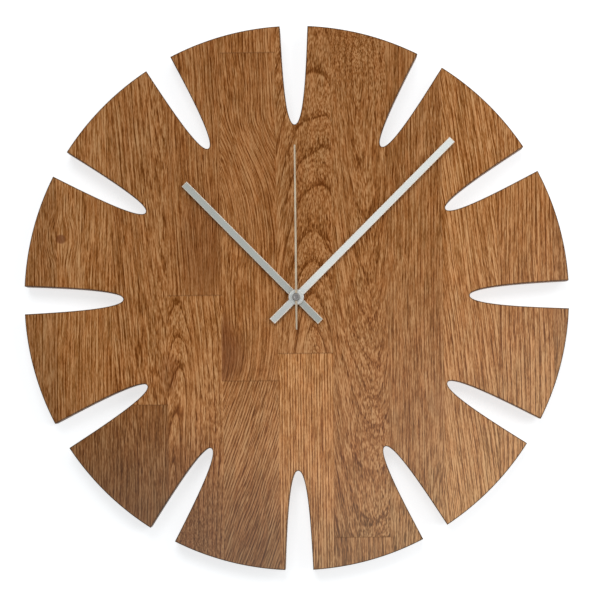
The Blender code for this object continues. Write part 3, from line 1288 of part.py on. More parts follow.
def main():
    """Build the clock: the fixed pieces, then each moving group on its own axis."""
    for item in list(bpy.data.objects):
        bpy.data.objects.remove(item, do_unlink=True)

    oak = make_material("oak", (0.30, 0.13, 0.043), 0.55)
    rubber = make_material("rubber", (0.03, 0.03, 0.03), 0.8)
    steel = make_material("steel", (0.55, 0.55, 0.56), 0.35, 1.0)
    foam = make_material("foam", (0.75, 0.75, 0.72), 0.9)
    black_plastic = make_material("black_plastic", (0.015, 0.015, 0.016), 0.45)
    white_plastic = make_material("white_plastic", (0.78, 0.77, 0.73), 0.4)
    circuit_green = make_material("circuit_green", (0.02, 0.16, 0.06), 0.5)
    resin = make_material("resin", (0.012, 0.012, 0.012), 0.25)
    copper = make_material("copper", (0.65, 0.25, 0.10), 0.35, 1.0)
    brass = make_material("brass", (0.70, 0.52, 0.22), 0.3, 1.0)
    magnet = make_material("magnet", (0.10, 0.10, 0.11), 0.5, 0.6)
    cell_jacket = make_material("cell_jacket", (0.62, 0.63, 0.64), 0.3, 1.0)
    satin_aluminium = make_material("satin_aluminium", (0.72, 0.72, 0.70), 0.38, 1.0)
    dark_aluminium = make_material("dark_aluminium", (0.24, 0.22, 0.21), 0.4, 1.0)

    clock = make_empty("clock", (0.0, -HOOK_Z), None)
    name_node(build_dial_board(), "dial_board", oak, clock)
    for i, place in enumerate(bumper_places(), start=1):
        name_node(build_wall_bumper(place), f"wall_bumper_{i}", rubber, clock)
    name_node(build_hanger_plate(), "hanger_plate", steel, clock)
    for i, place in enumerate(screw_places(), start=1):
        name_node(build_hanger_screw(place), f"hanger_screw_{i}", steel, clock)
    name_node(build_mounting_pad(), "mounting_pad", foam, clock)
    name_node(build_case_front(), "movement_case_front", black_plastic, clock)
    name_node(build_case_rear(), "movement_case_rear", black_plastic, clock)
    name_node(build_middle_plate(), "middle_plate", white_plastic, clock)
    name_node(build_rear_bridge(), "rear_bridge", white_plastic, clock)
    name_node(build_circuit_board(), "circuit_board", circuit_green, clock)
    name_node(build_chip_blob(), "chip_blob", resin, clock)
    name_node(build_crystal_can(), "crystal_can", steel, clock)
    name_node(build_coil_bobbin(), "coil_bobbin", white_plastic, clock)
    name_node(build_coil_winding(), "coil_winding", copper, clock)
    name_node(build_coil_core(), "coil_core", steel, clock)
    name_node(build_stator_plate(), "stator_plate", steel, clock)
    name_node(build_positive_contact(), "battery_contact_positive", steel, clock)
    name_node(build_negative_contact(), "battery_contact_negative", steel, clock)

    cell_frame = make_empty("cell_slide", (0.0, CELL_CENTRE_Z), clock)
    cell = name_node(build_battery_cell(), "battery_cell", cell_jacket, cell_frame)
    cell.location = (0.0, 0.0, -CELL_CENTRE_Z)

    phases = train_phases()
    rotor = make_empty("rotor_axis", ROTOR_AXIS, clock)
    name_node(build_rotor_arbor(phases["rotor"]), "rotor_arbor", white_plastic, rotor)
    name_node(build_rotor_magnet(), "rotor_magnet", magnet, rotor)

    intermediate = make_empty("intermediate_axis", INTERMEDIATE_AXIS, clock)
    name_node(
        build_intermediate_wheel(phases["intermediate"], phases["intermediate_leaves"]),
        "intermediate_wheel", white_plastic, intermediate)

    seconds = make_empty("second_axis", HAND_AXIS, clock)
    name_node(
        build_second_wheel(phases["second"], phases["second_leaves"]), "second_wheel", white_plastic, seconds)
    name_node(build_second_arbor(), "second_arbor", steel, seconds)
    name_node(build_second_hand(), "second_hand", satin_aluminium, seconds)
    name_node(build_second_socket(), "second_hand_socket", brass, seconds)
    name_node(build_second_cap(), "second_hand_cap", dark_aluminium, seconds)

    third = make_empty("third_axis", THIRD_AXIS, clock)
    name_node(build_third_wheel(phases["third"], phases["third_leaves"]), "third_wheel", white_plastic, third)

    minutes = make_empty("minute_axis", HAND_AXIS, clock)
    name_node(build_centre_wheel(phases["centre"]), "centre_wheel", white_plastic, minutes)
    name_node(build_clutch_spring(), "clutch_spring", steel, minutes)
    name_node(build_minute_pipe(phases["pipe"]), "minute_pipe", brass, minutes)
    name_node(build_minute_hand(), "minute_hand", satin_aluminium, minutes, MINUTE_HAND_CLOCK_ANGLE)
    minute_collet = build_collet(
        MINUTE_PIPE_DIAMETER, MINUTE_HAND_BACK - HAND_SPACING + SEAT_GAP, MINUTE_HAND_BACK)
    name_node(minute_collet, "minute_hand_collet", brass, minutes)

    motion = make_empty("motion_axis", MOTION_AXIS, clock)
    name_node(
        build_motion_wheel(phases["motion"], phases["motion_leaves"]), "motion_wheel", white_plastic, motion)

    hours = make_empty("hour_axis", HAND_AXIS, clock)
    name_node(build_hour_wheel(phases["hour"]), "hour_wheel", white_plastic, hours)
    name_node(build_hour_hand(), "hour_hand", satin_aluminium, hours, HOUR_HAND_CLOCK_ANGLE)
    hour_collet = build_collet(
        2 * HOUR_PIPE_RADIUS, HOUR_HAND_BACK - HOUR_COLLET_HEIGHT, HOUR_HAND_BACK)
    name_node(hour_collet, "hour_hand_collet", brass, hours)

    setting = make_empty("setting_axis", SETTING_AXIS, clock)
    name_node(build_setting_pinion(phases["setting"]), "setting_pinion", white_plastic, setting)
    name_node(build_setting_knob(), "setting_knob", black_plastic, setting)


main()
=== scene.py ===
"""Looks of a wooden wall clock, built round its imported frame.

The frame is metres with +Z up. The dial faces -Y and the wall is the plane Y = 0. Sizes of pieces are
millimetres. Shapes in the dial plane are arrays of complex numbers, x + i z round the hand axis, and
depths are distances in front of the wall.
"""

import json
import logging
import math
from dataclasses import dataclass, field
from enum import Enum, auto
from functools import partialmethod
from typing import Callable, Sequence, Union

import bmesh
import bpy
import numpy as np
from mathutils import Euler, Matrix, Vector


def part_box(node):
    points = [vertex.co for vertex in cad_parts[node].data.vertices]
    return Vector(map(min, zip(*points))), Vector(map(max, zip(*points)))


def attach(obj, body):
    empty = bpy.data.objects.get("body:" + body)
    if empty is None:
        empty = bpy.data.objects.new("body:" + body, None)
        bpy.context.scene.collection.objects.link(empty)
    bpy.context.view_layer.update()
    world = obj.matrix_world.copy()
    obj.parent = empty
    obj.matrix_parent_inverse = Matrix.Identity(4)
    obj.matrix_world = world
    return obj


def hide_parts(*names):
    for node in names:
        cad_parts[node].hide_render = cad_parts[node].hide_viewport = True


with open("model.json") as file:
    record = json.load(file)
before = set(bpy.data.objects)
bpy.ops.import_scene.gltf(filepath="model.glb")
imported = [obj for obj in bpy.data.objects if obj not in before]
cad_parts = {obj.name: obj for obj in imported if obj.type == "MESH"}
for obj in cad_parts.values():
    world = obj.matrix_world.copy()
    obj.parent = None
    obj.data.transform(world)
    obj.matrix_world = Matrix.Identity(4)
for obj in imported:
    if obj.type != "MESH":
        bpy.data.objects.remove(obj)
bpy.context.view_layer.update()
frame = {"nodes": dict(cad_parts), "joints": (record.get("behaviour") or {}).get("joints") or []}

MM = 0.001
SHARP = 30.0  # The angle in degrees from which an edge is sharp
OVER = 1.0  # How far a cutting tool reaches beyond the surface that it opens
LOG = logging.getLogger("wall_clock")

DIAL_Z = next(joint for joint in frame["joints"] if joint["name"] == "second_turn")["pos_m"][2]

Piece = bpy.types.Object
Socket = bpy.types.NodeSocket
Material = bpy.types.Material
Number = Union["Value", float]
Colour = tuple[float, float, float]
Stops = Sequence[tuple[float, Colour]]
Rows = Sequence[tuple[float, ...]]


# Shader maths

class Value:
    """One number of a shader, to which Python's operators add Math nodes."""

    def __init__(self, graph: "Graph", socket: Socket) -> None:
        """Wrap a socket of a graph's node."""
        self.graph = graph
        self.socket = socket

    def apply(self, operation: str, *others: Number) -> "Value":
        """Run a Math node on this value.

        Args:
            operation: The Math node's operation.
            others: What goes into its other sockets.

        Returns:
            The result.
        """
        return self.graph.maths(operation, self, *others)

    __add__ = __radd__ = partialmethod(apply, "ADD")
    __mul__ = __rmul__ = partialmethod(apply, "MULTIPLY")
    __sub__ = partialmethod(apply, "SUBTRACT")
    __truediv__ = partialmethod(apply, "DIVIDE")
    __pow__ = partialmethod(apply, "POWER")
    __abs__ = partialmethod(apply, "ABSOLUTE")
    root = partialmethod(apply, "SQRT")
    fraction = partialmethod(apply, "FRACT")
    below = partialmethod(apply, "LESS_THAN")
    least = partialmethod(apply, "MINIMUM")
    most = partialmethod(apply, "MAXIMUM")

    def __rsub__(self, other: float) -> "Value":
        """Difference from a plain number."""
        return self.graph.maths("SUBTRACT", other, self)

    def ease(self, low: float, high: float) -> "Value":
        """A smooth step from 0 at one level to 1 at another.

        Args:
            low: Where it is 0.
            high: Where it is 1. It may be under low, for a step down.

        Returns:
            The step.
        """
        flip = high < low
        start, end = (high, low) if flip else (low, high)
        node = self.graph.add(
            "ShaderNodeMapRange", {"interpolation_type": "SMOOTHSTEP"},
            {"Value": self, "From Min": start, "From Max": end,
             "To Min": 1.0 if flip else 0.0, "To Max": 0.0 if flip else 1.0})
        return Value(self.graph, node.outputs["Result"])


Input = Union[Value, Socket, float, Sequence[float]]


class Graph:
    """The nodes of one material, or of the world."""

    def __init__(self, name: str, tree: bpy.types.NodeTree | None = None) -> None:
        """Start with no nodes, in a new material unless a tree is given.

        Args:
            name: The material's name.
            tree: The tree that takes the nodes instead.
        """
        if tree is None:
            self.material = bpy.data.materials.new(name)
            self.material.use_nodes = True
            tree = self.material.node_tree
        self.tree = tree
        self.tree.nodes.clear()

    def add(
            self, kind: str, settings: dict | None = None, inputs: dict | None = None) -> bpy.types.Node:
        """Add a node.

        Args:
            kind: The node's type.
            settings: Its own settings, with a ramp's stops as (position, colour) pairs under "stops".
            inputs: Values or links of its sockets, by name or place.

        Returns:
            The node.
        """
        node = self.tree.nodes.new(kind)
        for key, value in (settings or {}).items():
            if key == "stops":
                self.set_stops(node.color_ramp, value)
            elif key == "interpolation":
                node.color_ramp.interpolation = value
            else:
                setattr(node, key, value)
        for key, value in (inputs or {}).items():
            self.feed(node.inputs[key], value)
        return node

    def feed(self, socket: Socket, value: Input) -> None:
        """Link a value to a socket, or set the socket to a plain one.

        Args:
            socket: The socket.
            value: A value or link, or a plain number, vector or colour.
        """
        if isinstance(value, Value):
            value = value.socket
        if isinstance(value, Socket):
            self.tree.links.new(value, socket)
        else:
            socket.default_value = (*value, 1.0) if socket.type == "RGBA" else value

    @staticmethod
    def set_stops(ramp: bpy.types.ColorRamp, stops: Stops) -> None:
        """Give a ramp its stops.

        Args:
            ramp: The ramp.
            stops: Pairs of (position, colour), from left to right.
        """
        while len(ramp.elements) < len(stops):
            ramp.elements.new(1.0)
        for element, (position, colour) in zip(ramp.elements, stops):
            element.position = position
            element.color = (*colour, 1.0)

    def maths(self, operation: str, *terms: Number) -> Value:
        """Run a Math node on some terms."""
        node = self.add("ShaderNodeMath", {"operation": operation}, dict(enumerate(terms)))
        return Value(self, node.outputs[0])

    def vectors(self, operation: str, *terms: Input) -> Socket:
        """Run a Vector Math node on some terms."""
        node = self.add("ShaderNodeVectorMath", {"operation": operation}, dict(enumerate(terms)))
        return node.outputs["Vector"]

    def split(self, vector: Socket) -> tuple[Value, Value, Value]:
        """The three parts of a vector or colour."""
        node = self.add("ShaderNodeSeparateXYZ", None, {"Vector": vector})
        return tuple(Value(self, node.outputs[i]) for i in range(3))

    def join(self, x: Number, y: Number, z: Number) -> Socket:
        """A vector of three parts."""
        return self.add("ShaderNodeCombineXYZ", None, {"X": x, "Y": y, "Z": z}).outputs["Vector"]

    def place(self, origin: Sequence[float] = (0.0, 0.0, 0.0)) -> Socket:
        """The point's place in millimetres from an origin, which is in metres."""
        away = self.vectors("SUBTRACT", self.add("ShaderNodeTexCoord").outputs["Object"], origin)
        return self.vectors("DIVIDE", away, (MM, MM, MM))

    def attribute(self, name: str) -> Value:
        """A number that the mesh carries."""
        node = self.add("ShaderNodeAttribute", {"attribute_name": name})
        return Value(self, node.outputs["Fac"])

    def noise(
            self, place: Input, sizes: Sequence[float], detail: float = 2.0, rough: float = 0.5) -> Value:
        """Noise of a given size of grain along each axis.

        Args:
            place: Where, as a vector.
            sizes: The grain's size along X, Y and Z, in the vector's own unit.
            detail: How many finer layers it has.
            rough: How strong the finer layers are.

        Returns:
            Noise round 0, from -0.5 to 0.5.
        """
        scaled = self.vectors("DIVIDE", place, sizes)
        node = self.add(
            "ShaderNodeTexNoise", None,
            {"Vector": scaled, "Scale": 1.0, "Detail": detail, "Roughness": rough})
        return Value(self, node.outputs["Fac"]) - 0.5

    def ramp(self, factor: Number, stops: Stops, way: str = "LINEAR") -> Socket:
        """A colour by a factor, from (position, colour) stops."""
        node = self.add("ShaderNodeValToRGB", {"interpolation": way, "stops": stops}, {"Fac": factor})
        return node.outputs["Color"]

    def mix(self, factor: Number, first: Input, second: Input, blend: str = "MIX") -> Socket:
        """Mix two colours.

        Args:
            factor: How much of the blend is taken, from 0 to 1.
            first: The colour to start from.
            second: The colour that is put to it.
            blend: The way of blending.

        Returns:
            The mixed colour.
        """
        node = self.add("ShaderNodeMix", {"data_type": "RGBA", "blend_type": blend})
        colours = [s for s in node.inputs if s.type == "RGBA"]
        for socket, value in zip((node.inputs[0], *colours), (factor, first, second)):
            self.feed(socket, value)
        return next(s for s in node.outputs if s.type == "RGBA")

    def scale_colour(self, colour: Input, amount: Value) -> Socket:
        """A colour made lighter or darker by an amount."""
        node = self.add("ShaderNodeVectorMath", {"operation": "SCALE"}, {0: colour, "Scale": amount})
        return node.outputs["Vector"]

    def bump(self, height: Value, distance: float, strength: float = 1.0) -> Socket:
        """A normal from a height, of which 1 stands for a distance in millimetres."""
        inputs = {"Height": height, "Distance": distance * MM, "Strength": strength}
        return self.add("ShaderNodeBump", None, inputs).outputs["Normal"]

    def surface(self, inputs: dict) -> Material:
        """Close the material with its main shader.

        Args:
            inputs: What goes into the shader, by socket name.

        Returns:
            The finished material.
        """
        shader = self.add("ShaderNodeBsdfPrincipled", None, inputs)
        self.add("ShaderNodeOutputMaterial", None, {"Surface": shader.outputs[0]})
        return self.material


# Shapes

def place(points: np.ndarray, depth: Union[float, np.ndarray]) -> np.ndarray:
    """Put points of the dial plane into the frame.

    Args:
        points: Complex numbers round the hand axis, in millimetres.
        depth: Their distance in front of the wall, in millimetres.

    Returns:
        An array with a last axis of three coordinates, in metres.
    """
    points, depth = np.broadcast_arrays(points, depth)
    return np.stack([points.real * MM, -depth * MM, points.imag * MM + DIAL_Z], axis=-1)


def circle(radius: float, steps: int = 96, centre: complex = 0j) -> np.ndarray:
    """Points round a circle: the centre plus radius times e to the i angle."""
    return centre + radius * np.exp(2j * math.pi * np.arange(steps) / steps)


def box(low: complex, high: complex, corners: Sequence[float], steps: int = 10) -> np.ndarray:
    """Points round an upright box whose corners are arcs, counter-clockwise from the upper right one.

    Args:
        low: The lower left corner.
        high: The upper right corner.
        corners: The radius of each arc.
        steps: How many steps an arc has.

    Returns:
        The outline.
    """
    turn = np.linspace(0.0, math.pi / 2, steps + 1)
    ends = (high, complex(low.real, high.imag), low, complex(high.real, low.imag))
    inwards = (-1 - 1j, 1 - 1j, 1 + 1j, -1 + 1j)
    return np.concatenate([
        end + corner * (way + np.exp(1j * (turn + quarter * math.pi / 2)))
        for quarter, (end, way, corner) in enumerate(zip(ends, inwards, corners))])


def rounded_box(width: float, height: float, corner: float, centre: complex = 0j) -> np.ndarray:
    """Points round an upright box with four like corners."""
    reach = complex(width, height) / 2
    return box(centre - reach, centre + reach, (corner,) * 4)


def arc_arrow(
        radius: float, width: float, start: float, end: float, centre: complex,
        steps: int = 24) -> np.ndarray:
    """The outer and the inner line of an arc with an arrowhead at each end, from start to end.

    The lines are at the radius plus and minus half the width. A head opens to three widths and closes
    to a tenth over three widths of the arc.

    Args:
        radius: The arc's radius.
        width: Its width.
        start: Where it starts, in degrees.
        end: Where it ends.
        centre: Its centre.
        steps: How many steps it has.

    Returns:
        The two lines, as rows.
    """
    point = math.degrees(3 * width / radius)
    angle = np.concatenate([
        [start - point, start - 0.01], np.linspace(start, end, steps), [end + 0.01, end + point]])
    reach = width * np.concatenate([[0.05, 1.5], np.full(steps, 0.5), [1.5, 0.05]])
    return centre + (radius + np.stack([reach, -reach])) * np.exp(1j * np.radians(angle))


def capsule(width: float, low: complex, high: complex, steps: int = 16) -> np.ndarray:
    """Points round an upright slot with round ends.

    Args:
        width: The slot's width.
        low: The centre of its lower end.
        high: The centre of its upper end.
        steps: How many steps an end has.

    Returns:
        The outline.
    """
    turn = np.linspace(0.0, math.pi, steps + 1)
    arc = width / 2 * np.exp(1j * turn)
    return np.concatenate([high + arc, low - arc])


def mitres(outline: np.ndarray) -> np.ndarray:
    """How far each point of a counter-clockwise outline moves outwards for one unit of offset.

    With a and b the outward normals of the edges before and after a point, it is (a + b) / (1 + a.b).

    Args:
        outline: The outline.

    Returns:
        The movement of each point.
    """
    edges = np.roll(outline, -1) - outline
    after = -1j * edges / np.abs(edges)
    before = np.roll(after, 1)
    dot = (before * after.conj()).real
    return (before + after) / (1 + dot)


class Shape:
    """A closed shape that is put together from grids of points which share their edges."""

    def __init__(self) -> None:
        """Start with no grids."""
        self.points: list[np.ndarray] = []
        self.marks: list[np.ndarray] = []
        self.faces: list[np.ndarray] = []
        self.count = 0

    def add(self, grid: np.ndarray, mark: float | np.ndarray = 0.0, closed: bool = False) -> "Shape":
        """Add a grid.

        Args:
            grid: Points, as rows by columns by three coordinates.
            mark: The number that each point carries for its finish, or one for each row.
            closed: Whether the last column is joined to the first.

        Returns:
            The shape itself.
        """
        rows, columns = grid.shape[:2]
        index = np.arange(rows * columns).reshape(rows, columns) + self.count
        if closed:
            index = np.concatenate([index, index[:, :1]], axis=1)
        quads = np.stack([index[:-1, :-1], index[:-1, 1:], index[1:, 1:], index[1:, :-1]], axis=-1)
        self.points.append(grid.reshape(-1, 3))
        self.marks.append(np.broadcast_to(np.asarray(mark, float), (rows, columns)).reshape(-1))
        self.faces.append(quads.reshape(-1, 4))
        self.count += rows * columns
        return self

    def build(self, name: str, sharp: float = SHARP) -> Piece:
        """Make the object, with its doubles merged and its faces pointing outwards.

        Args:
            name: The piece's name.
            sharp: The angle in degrees from which an edge is sharp.

        Returns:
            The object, at the origin.
        """
        data = bpy.data.meshes.new(name)
        data.from_pydata(
            np.concatenate(self.points).tolist(), [], np.concatenate(self.faces).tolist())
        layer = data.attributes.new("edge", "FLOAT", "POINT")
        layer.data.foreach_set("value", np.concatenate(self.marks).astype(np.float32))
        mesh = bmesh.new()
        mesh.from_mesh(data)
        bmesh.ops.remove_doubles(mesh, verts=mesh.verts, dist=2e-7)
        bmesh.ops.recalc_face_normals(mesh, faces=mesh.faces)
        mesh.to_mesh(data)
        mesh.free()
        smooth(data, sharp)
        piece = bpy.data.objects.new(name, data)
        bpy.context.scene.collection.objects.link(piece)
        return piece


def smooth(data: bpy.types.Mesh, sharp: float = SHARP) -> None:
    """Shade a mesh smooth, with sharp edges from an angle in degrees."""
    data.shade_smooth()
    data.set_sharp_from_angle(angle=math.radians(sharp))


def table_of(profile: Rows) -> tuple[np.ndarray, np.ndarray, np.ndarray]:
    """A profile's three columns, with marks of 0 where a row has none."""
    table = np.array([(*row, 0.0)[:3] for row in profile])
    return table[:, :1], table[:, 1:2], table[:, 2:]


def carried(outline: np.ndarray, profile: Rows, centre: complex | None = None) -> Shape:
    """Carry a profile round a closed outline, and close it over its ends.

    A point of row j is the outline's point minus its mitre times the row's inset, at the row's depth.

    Args:
        outline: A counter-clockwise outline.
        profile: Rows of (inset, depth) or (inset, depth, mark).
        centre: Where the ends close. Without it they stay open.

    Returns:
        The shape.
    """
    insets, depths, marks = table_of(profile)
    rows = outline - mitres(outline) * insets
    if centre is not None:
        middle = np.full((1, outline.size), centre)
        rows = np.concatenate([middle, rows, middle])
        depths = np.concatenate([depths[:1], depths, depths[-1:]])
        marks = np.concatenate([marks[:1], marks, marks[-1:]])
    return Shape().add(place(rows, depths), marks, closed=True)


def ruled(right: np.ndarray, left: np.ndarray, profile: Rows) -> Shape:
    """A flat bar between two lines, with a profile round it and straight rules from line to line.

    Args:
        right: The line that the outline runs up.
        left: The line that it comes back down, given in the same order.
        profile: Rows of (inset, depth) or (inset, depth, mark).

    Returns:
        The shape.
    """
    outline = np.concatenate([right, left[::-1]])
    shape = carried(outline, profile)
    for inset, depth in (profile[0][:2], profile[-1][:2]):
        edge = outline - mitres(outline) * inset
        shape.add(place(np.stack([edge[:right.size], edge[right.size:][::-1]], axis=1), depth))
    return shape


def turned(profile: Rows, centre: complex = 0j, steps: int = 64) -> Shape:
    """Turn a profile round an axis square to the dial.

    A point is the centre plus the row's radius times e to the i angle, at the row's depth.

    Args:
        profile: Rows of (radius, depth) or (radius, depth, mark).
        centre: The axis.
        steps: Points round it.

    Returns:
        The shape.
    """
    radii, depths, marks = table_of(profile)
    return Shape().add(place(centre + radii * circle(1.0, steps), depths), marks, closed=True)


def pin(radius: float, low: float, high: float, centre: complex = 0j, steps: int = 64) -> Shape:
    """A round pin square to the dial, from one depth to another."""
    return turned(((0.0, low), (radius, low), (radius, high), (0.0, high)), centre, steps)


def eased(size: float, depth: float, steps: int, *mark: float) -> list[tuple[float, ...]]:
    """Rows of a quarter circle from a face to the side: size is negative for a face that looks out."""
    bend = np.linspace(0.0, math.pi / 2, steps)
    return [(abs(size) * (1 - math.sin(a)), depth + size * (1 - math.cos(a)), *mark) for a in bend]


def rounded(points: Rows, radius: float, steps: int = 4) -> list[tuple[float, float]]:
    """Round the corners inside an open profile.

    Each corner gets a curve (1-t)^2 a + 2t(1-t) b + t^2 c, with a and c at the radius's distance from
    the corner b along its two edges, or at half an edge where that is shorter.

    Args:
        points: The profile.
        radius: How far from the corner the curve starts.
        steps: How many steps a curve has.

    Returns:
        The rounded profile.
    """
    corners = [complex(*point) for point in points]
    path = [corners[0]]
    share = np.linspace(0.0, 1.0, steps + 1)
    for before, here, after in zip(corners, corners[1:], corners[2:]):
        back, on = before - here, after - here
        start = here + back * min(radius / abs(back), 0.5)
        end = here + on * min(radius / abs(on), 0.5)
        path += list((1 - share) ** 2 * start + 2 * share * (1 - share) * here + share ** 2 * end)
    path.append(corners[-1])
    return [(point.real, point.imag) for point in path]


class Joining(Enum):
    """How a shape changes the piece that it is put to."""

    UNION = auto()
    DIFFERENCE = auto()


def combine(target: Piece, joining: Joining, *shapes: Shape) -> Piece:
    """Join shapes to a piece, or cut them out of it.

    Args:
        target: The piece.
        joining: Which of the two.
        shapes: The shapes.

    Returns:
        The piece.
    """
    tools = [shape.build("tool") for shape in shapes]
    for tool in tools:
        modifier = target.modifiers.new("combine", "BOOLEAN")
        modifier.operation = joining.name
        modifier.solver = "EXACT"
        modifier.object = tool
    view = bpy.context.evaluated_depsgraph_get()
    data = bpy.data.meshes.new_from_object(target.evaluated_get(view))
    target.modifiers.clear()
    target.data = data
    for tool in tools:
        bpy.data.objects.remove(tool, do_unlink=True)
    mesh = bmesh.new()
    mesh.from_mesh(data)
    bmesh.ops.remove_doubles(mesh, verts=mesh.verts, dist=1e-6)
    bmesh.ops.dissolve_degenerate(mesh, edges=mesh.edges, dist=1e-7)
    mesh.to_mesh(data)
    mesh.free()
    data.name = target.name
    smooth(data)
    return target


def fit(piece: Piece, body: str, slot: str, material: Material, *nodes: str) -> Piece:
    """Dress a new piece and hang it on its body.

    Args:
        piece: The finished piece.
        body: The frame's body that it moves with.
        slot: Not used.
        material: Its finish.
        nodes: The frame's nodes that it stands for.

    Returns:
        The piece.
    """
    piece.data.materials.clear()
    piece.data.materials.append(material)
    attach(piece, body)
    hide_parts(*nodes)
    LOG.info("%s on %s", piece.name, body)
    return piece


def dress(node: str, material: Material) -> None:
    """Give a piece of the frame its finish.

    Args:
        node: The piece's node.
        material: Its finish.
    """
    piece = frame["nodes"][node]
    for slot in piece.material_slots:
        slot.link = "OBJECT"
        slot.material = material
    if not piece.material_slots:
        piece.data.materials.append(material)
    LOG.info("%s as %s", node, material.name)


# Finishes

HEART_SPAN, DEPTH_SPAN, DISC_SPAN = 800.0, 400.0, 500.0  # What colour parts from 0 to 1 stand for


@dataclass(frozen=True)
class Plank:
    """How one length of oak was sawn, in millimetres of the dial plane.

    The growth rings are round the heart of the tree, whose line passes the hand axis's height at
    heart_x, heart_depth behind the face, and leans by lean_x and lean_depth for each millimetre up.
    """

    heart_x: float
    heart_depth: float
    lean_x: float = 0.0
    lean_depth: float = 0.0
    ring: float = 2.4
    tone: float = 1.0
    red: float = 0.5
    bold: float = 0.5
    wave: float = 0.5

    def codes(self) -> tuple[Colour, Colour, Colour]:
        """The nine values, for ramps.

        Returns:
            Three colours with parts from 0 to 1.
        """
        return (
            (self.heart_x / HEART_SPAN + 0.5, self.heart_depth / DEPTH_SPAN + 0.5, self.lean_x + 0.5),
            (self.lean_depth + 0.5, self.ring / 10, self.tone / 2),
            (self.red, self.bold, self.wave))


@dataclass(frozen=True)
class Stave:
    """One upright column of the glued disc, with butt joints between its planks.

    The lower plank is below the height called butt. A third, above the one called crown, is the upper
    one sawn a little to the side.
    """

    left: float
    butt: float
    upper: Plank
    lower: Plank = Plank(300, 20)
    crown: float = 190.0

    def code(self) -> Colour:
        """The heights of its joints and its left side, as a colour with parts from 0 to 1."""
        return tuple(value / DISC_SPAN + 0.5 for value in (self.butt, self.crown, self.left))


@dataclass(frozen=True)
class Patch:
    """A darker place in the wood, as an oval with soft edges and the plank's hard ones."""

    x: float
    z: float
    width: float
    height: float
    strength: float
    left: float = -200.0
    bottom: float = -200.0
    right: float = 200.0


@dataclass(frozen=True)
class Bow:
    """Grain of one plank that bows sideways round a fault, in millimetres of the dial plane.

    The sideways shift is a smooth bump of the height: full at z, and nothing from reach above or
    below it on.
    """

    left: float
    right: float
    bottom: float
    z: float
    reach: float
    shift: float


def within(part: Union[Patch, Bow], x: Value, z: Value) -> Value:
    """1 between the left and right sides of its plank and above the plank's bottom, and 0 elsewhere."""
    return x.below(part.right) * (1.0 - x.below(part.left)) * (1.0 - z.below(part.bottom))


STAVES = (
    Stave(-167.8, -200.0, Plank(-420, 20, 0.00, 0.0, 1.8, 0.87, 0.40, 0.55, 0.2)),
    Stave(-141.8, -72.0, Plank(-400, 30, 0.02, 0.0, 1.76, 1.06, 0.35, 0.55, 0.25),
          Plank(-380, 40, 0.03, 0.0, 1.8, 0.80, 0.50, 0.50, 0.2)),
    Stave(-109.3, -62.3, Plank(-60, 44, 0.00, -0.09, 1.8, 0.97, 0.50, 0.55),
          Plank(-300, 60, 0.03, 0.0, 1.8, 0.78, 0.60, 0.55, 0.2)),
    Stave(-76.8, 1.7, Plank(-200, 70, -0.04, 0.0, 1.9, 0.95, 0.70, 0.50, 0.4),
          Plank(-71, 14, 0.02, 0.12, 2.6, 1.03, 0.55, 1.00, 0.4)),
    Stave(-44.3, -48.8, Plank(-240, 50, -0.04, 0.0, 1.7, 0.98, 0.75, 0.60, 0.4),
          Plank(-240, 50, 0.36, 0.0, 1.7, 0.97, 0.55, 1.00, 0.3), crown=144.4),
    Stave(-11.8, -33.0, Plank(11, 14, 0.01, 0.17, 3.6, 0.97, 0.60, 1.00, 0.45),
          Plank(300, 20, 0.00, 0.0, 1.57, 1.30, 0.22, 1.00, 0.05)),
    Stave(20.7, -141.0, Plank(41, 16, -0.02, -0.13, 3.2, 0.99, 0.50, 0.62, 0.4), Plank(300, 20, red=0.8)),
    Stave(53.2, -200.0, Plank(340, 30, 0.01, 0.0, 1.8, 0.97, 0.45, 0.45, 0.2)),
    Stave(85.7, -200.0, Plank(240, 50, -0.12, 0.0, 2.2, 1.16, 0.32, 0.85, 0.4)),
    Stave(118.2, -200.0, Plank(380, 20, 0.00, 0.0, 2.6, 1.08, 0.50, 1.00, 0.3)),
    Stave(150.7, -200.0, Plank(400, 30, 0.01, 0.0, 2.6, 0.91, 0.50, 0.80, 0.3)),
)

BOW = Bow(-44.3, -11.8, -48.8, 12.0, 98.0, 18.0)

KNOT = Patch(-138.2, 35.8, 3.4, 3.0, 0.78)

PATCHES = (
    Patch(-44.0, -33.0, 20.0, 27.0, 0.62, left=-44.3, bottom=-48.8),
    Patch(-54.0, 34.0, 19.0, 40.0, 0.26, left=-76.8, bottom=1.7, right=-44.3),
    Patch(-62.0, -122.0, 24.0, 52.0, 0.20, left=-76.8, right=-44.3),
    Patch(-75.0, -44.0, 7.0, 14.0, 0.30),
    Patch(84.0, -63.0, 10.0, 9.0, 0.16),
    KNOT,
)


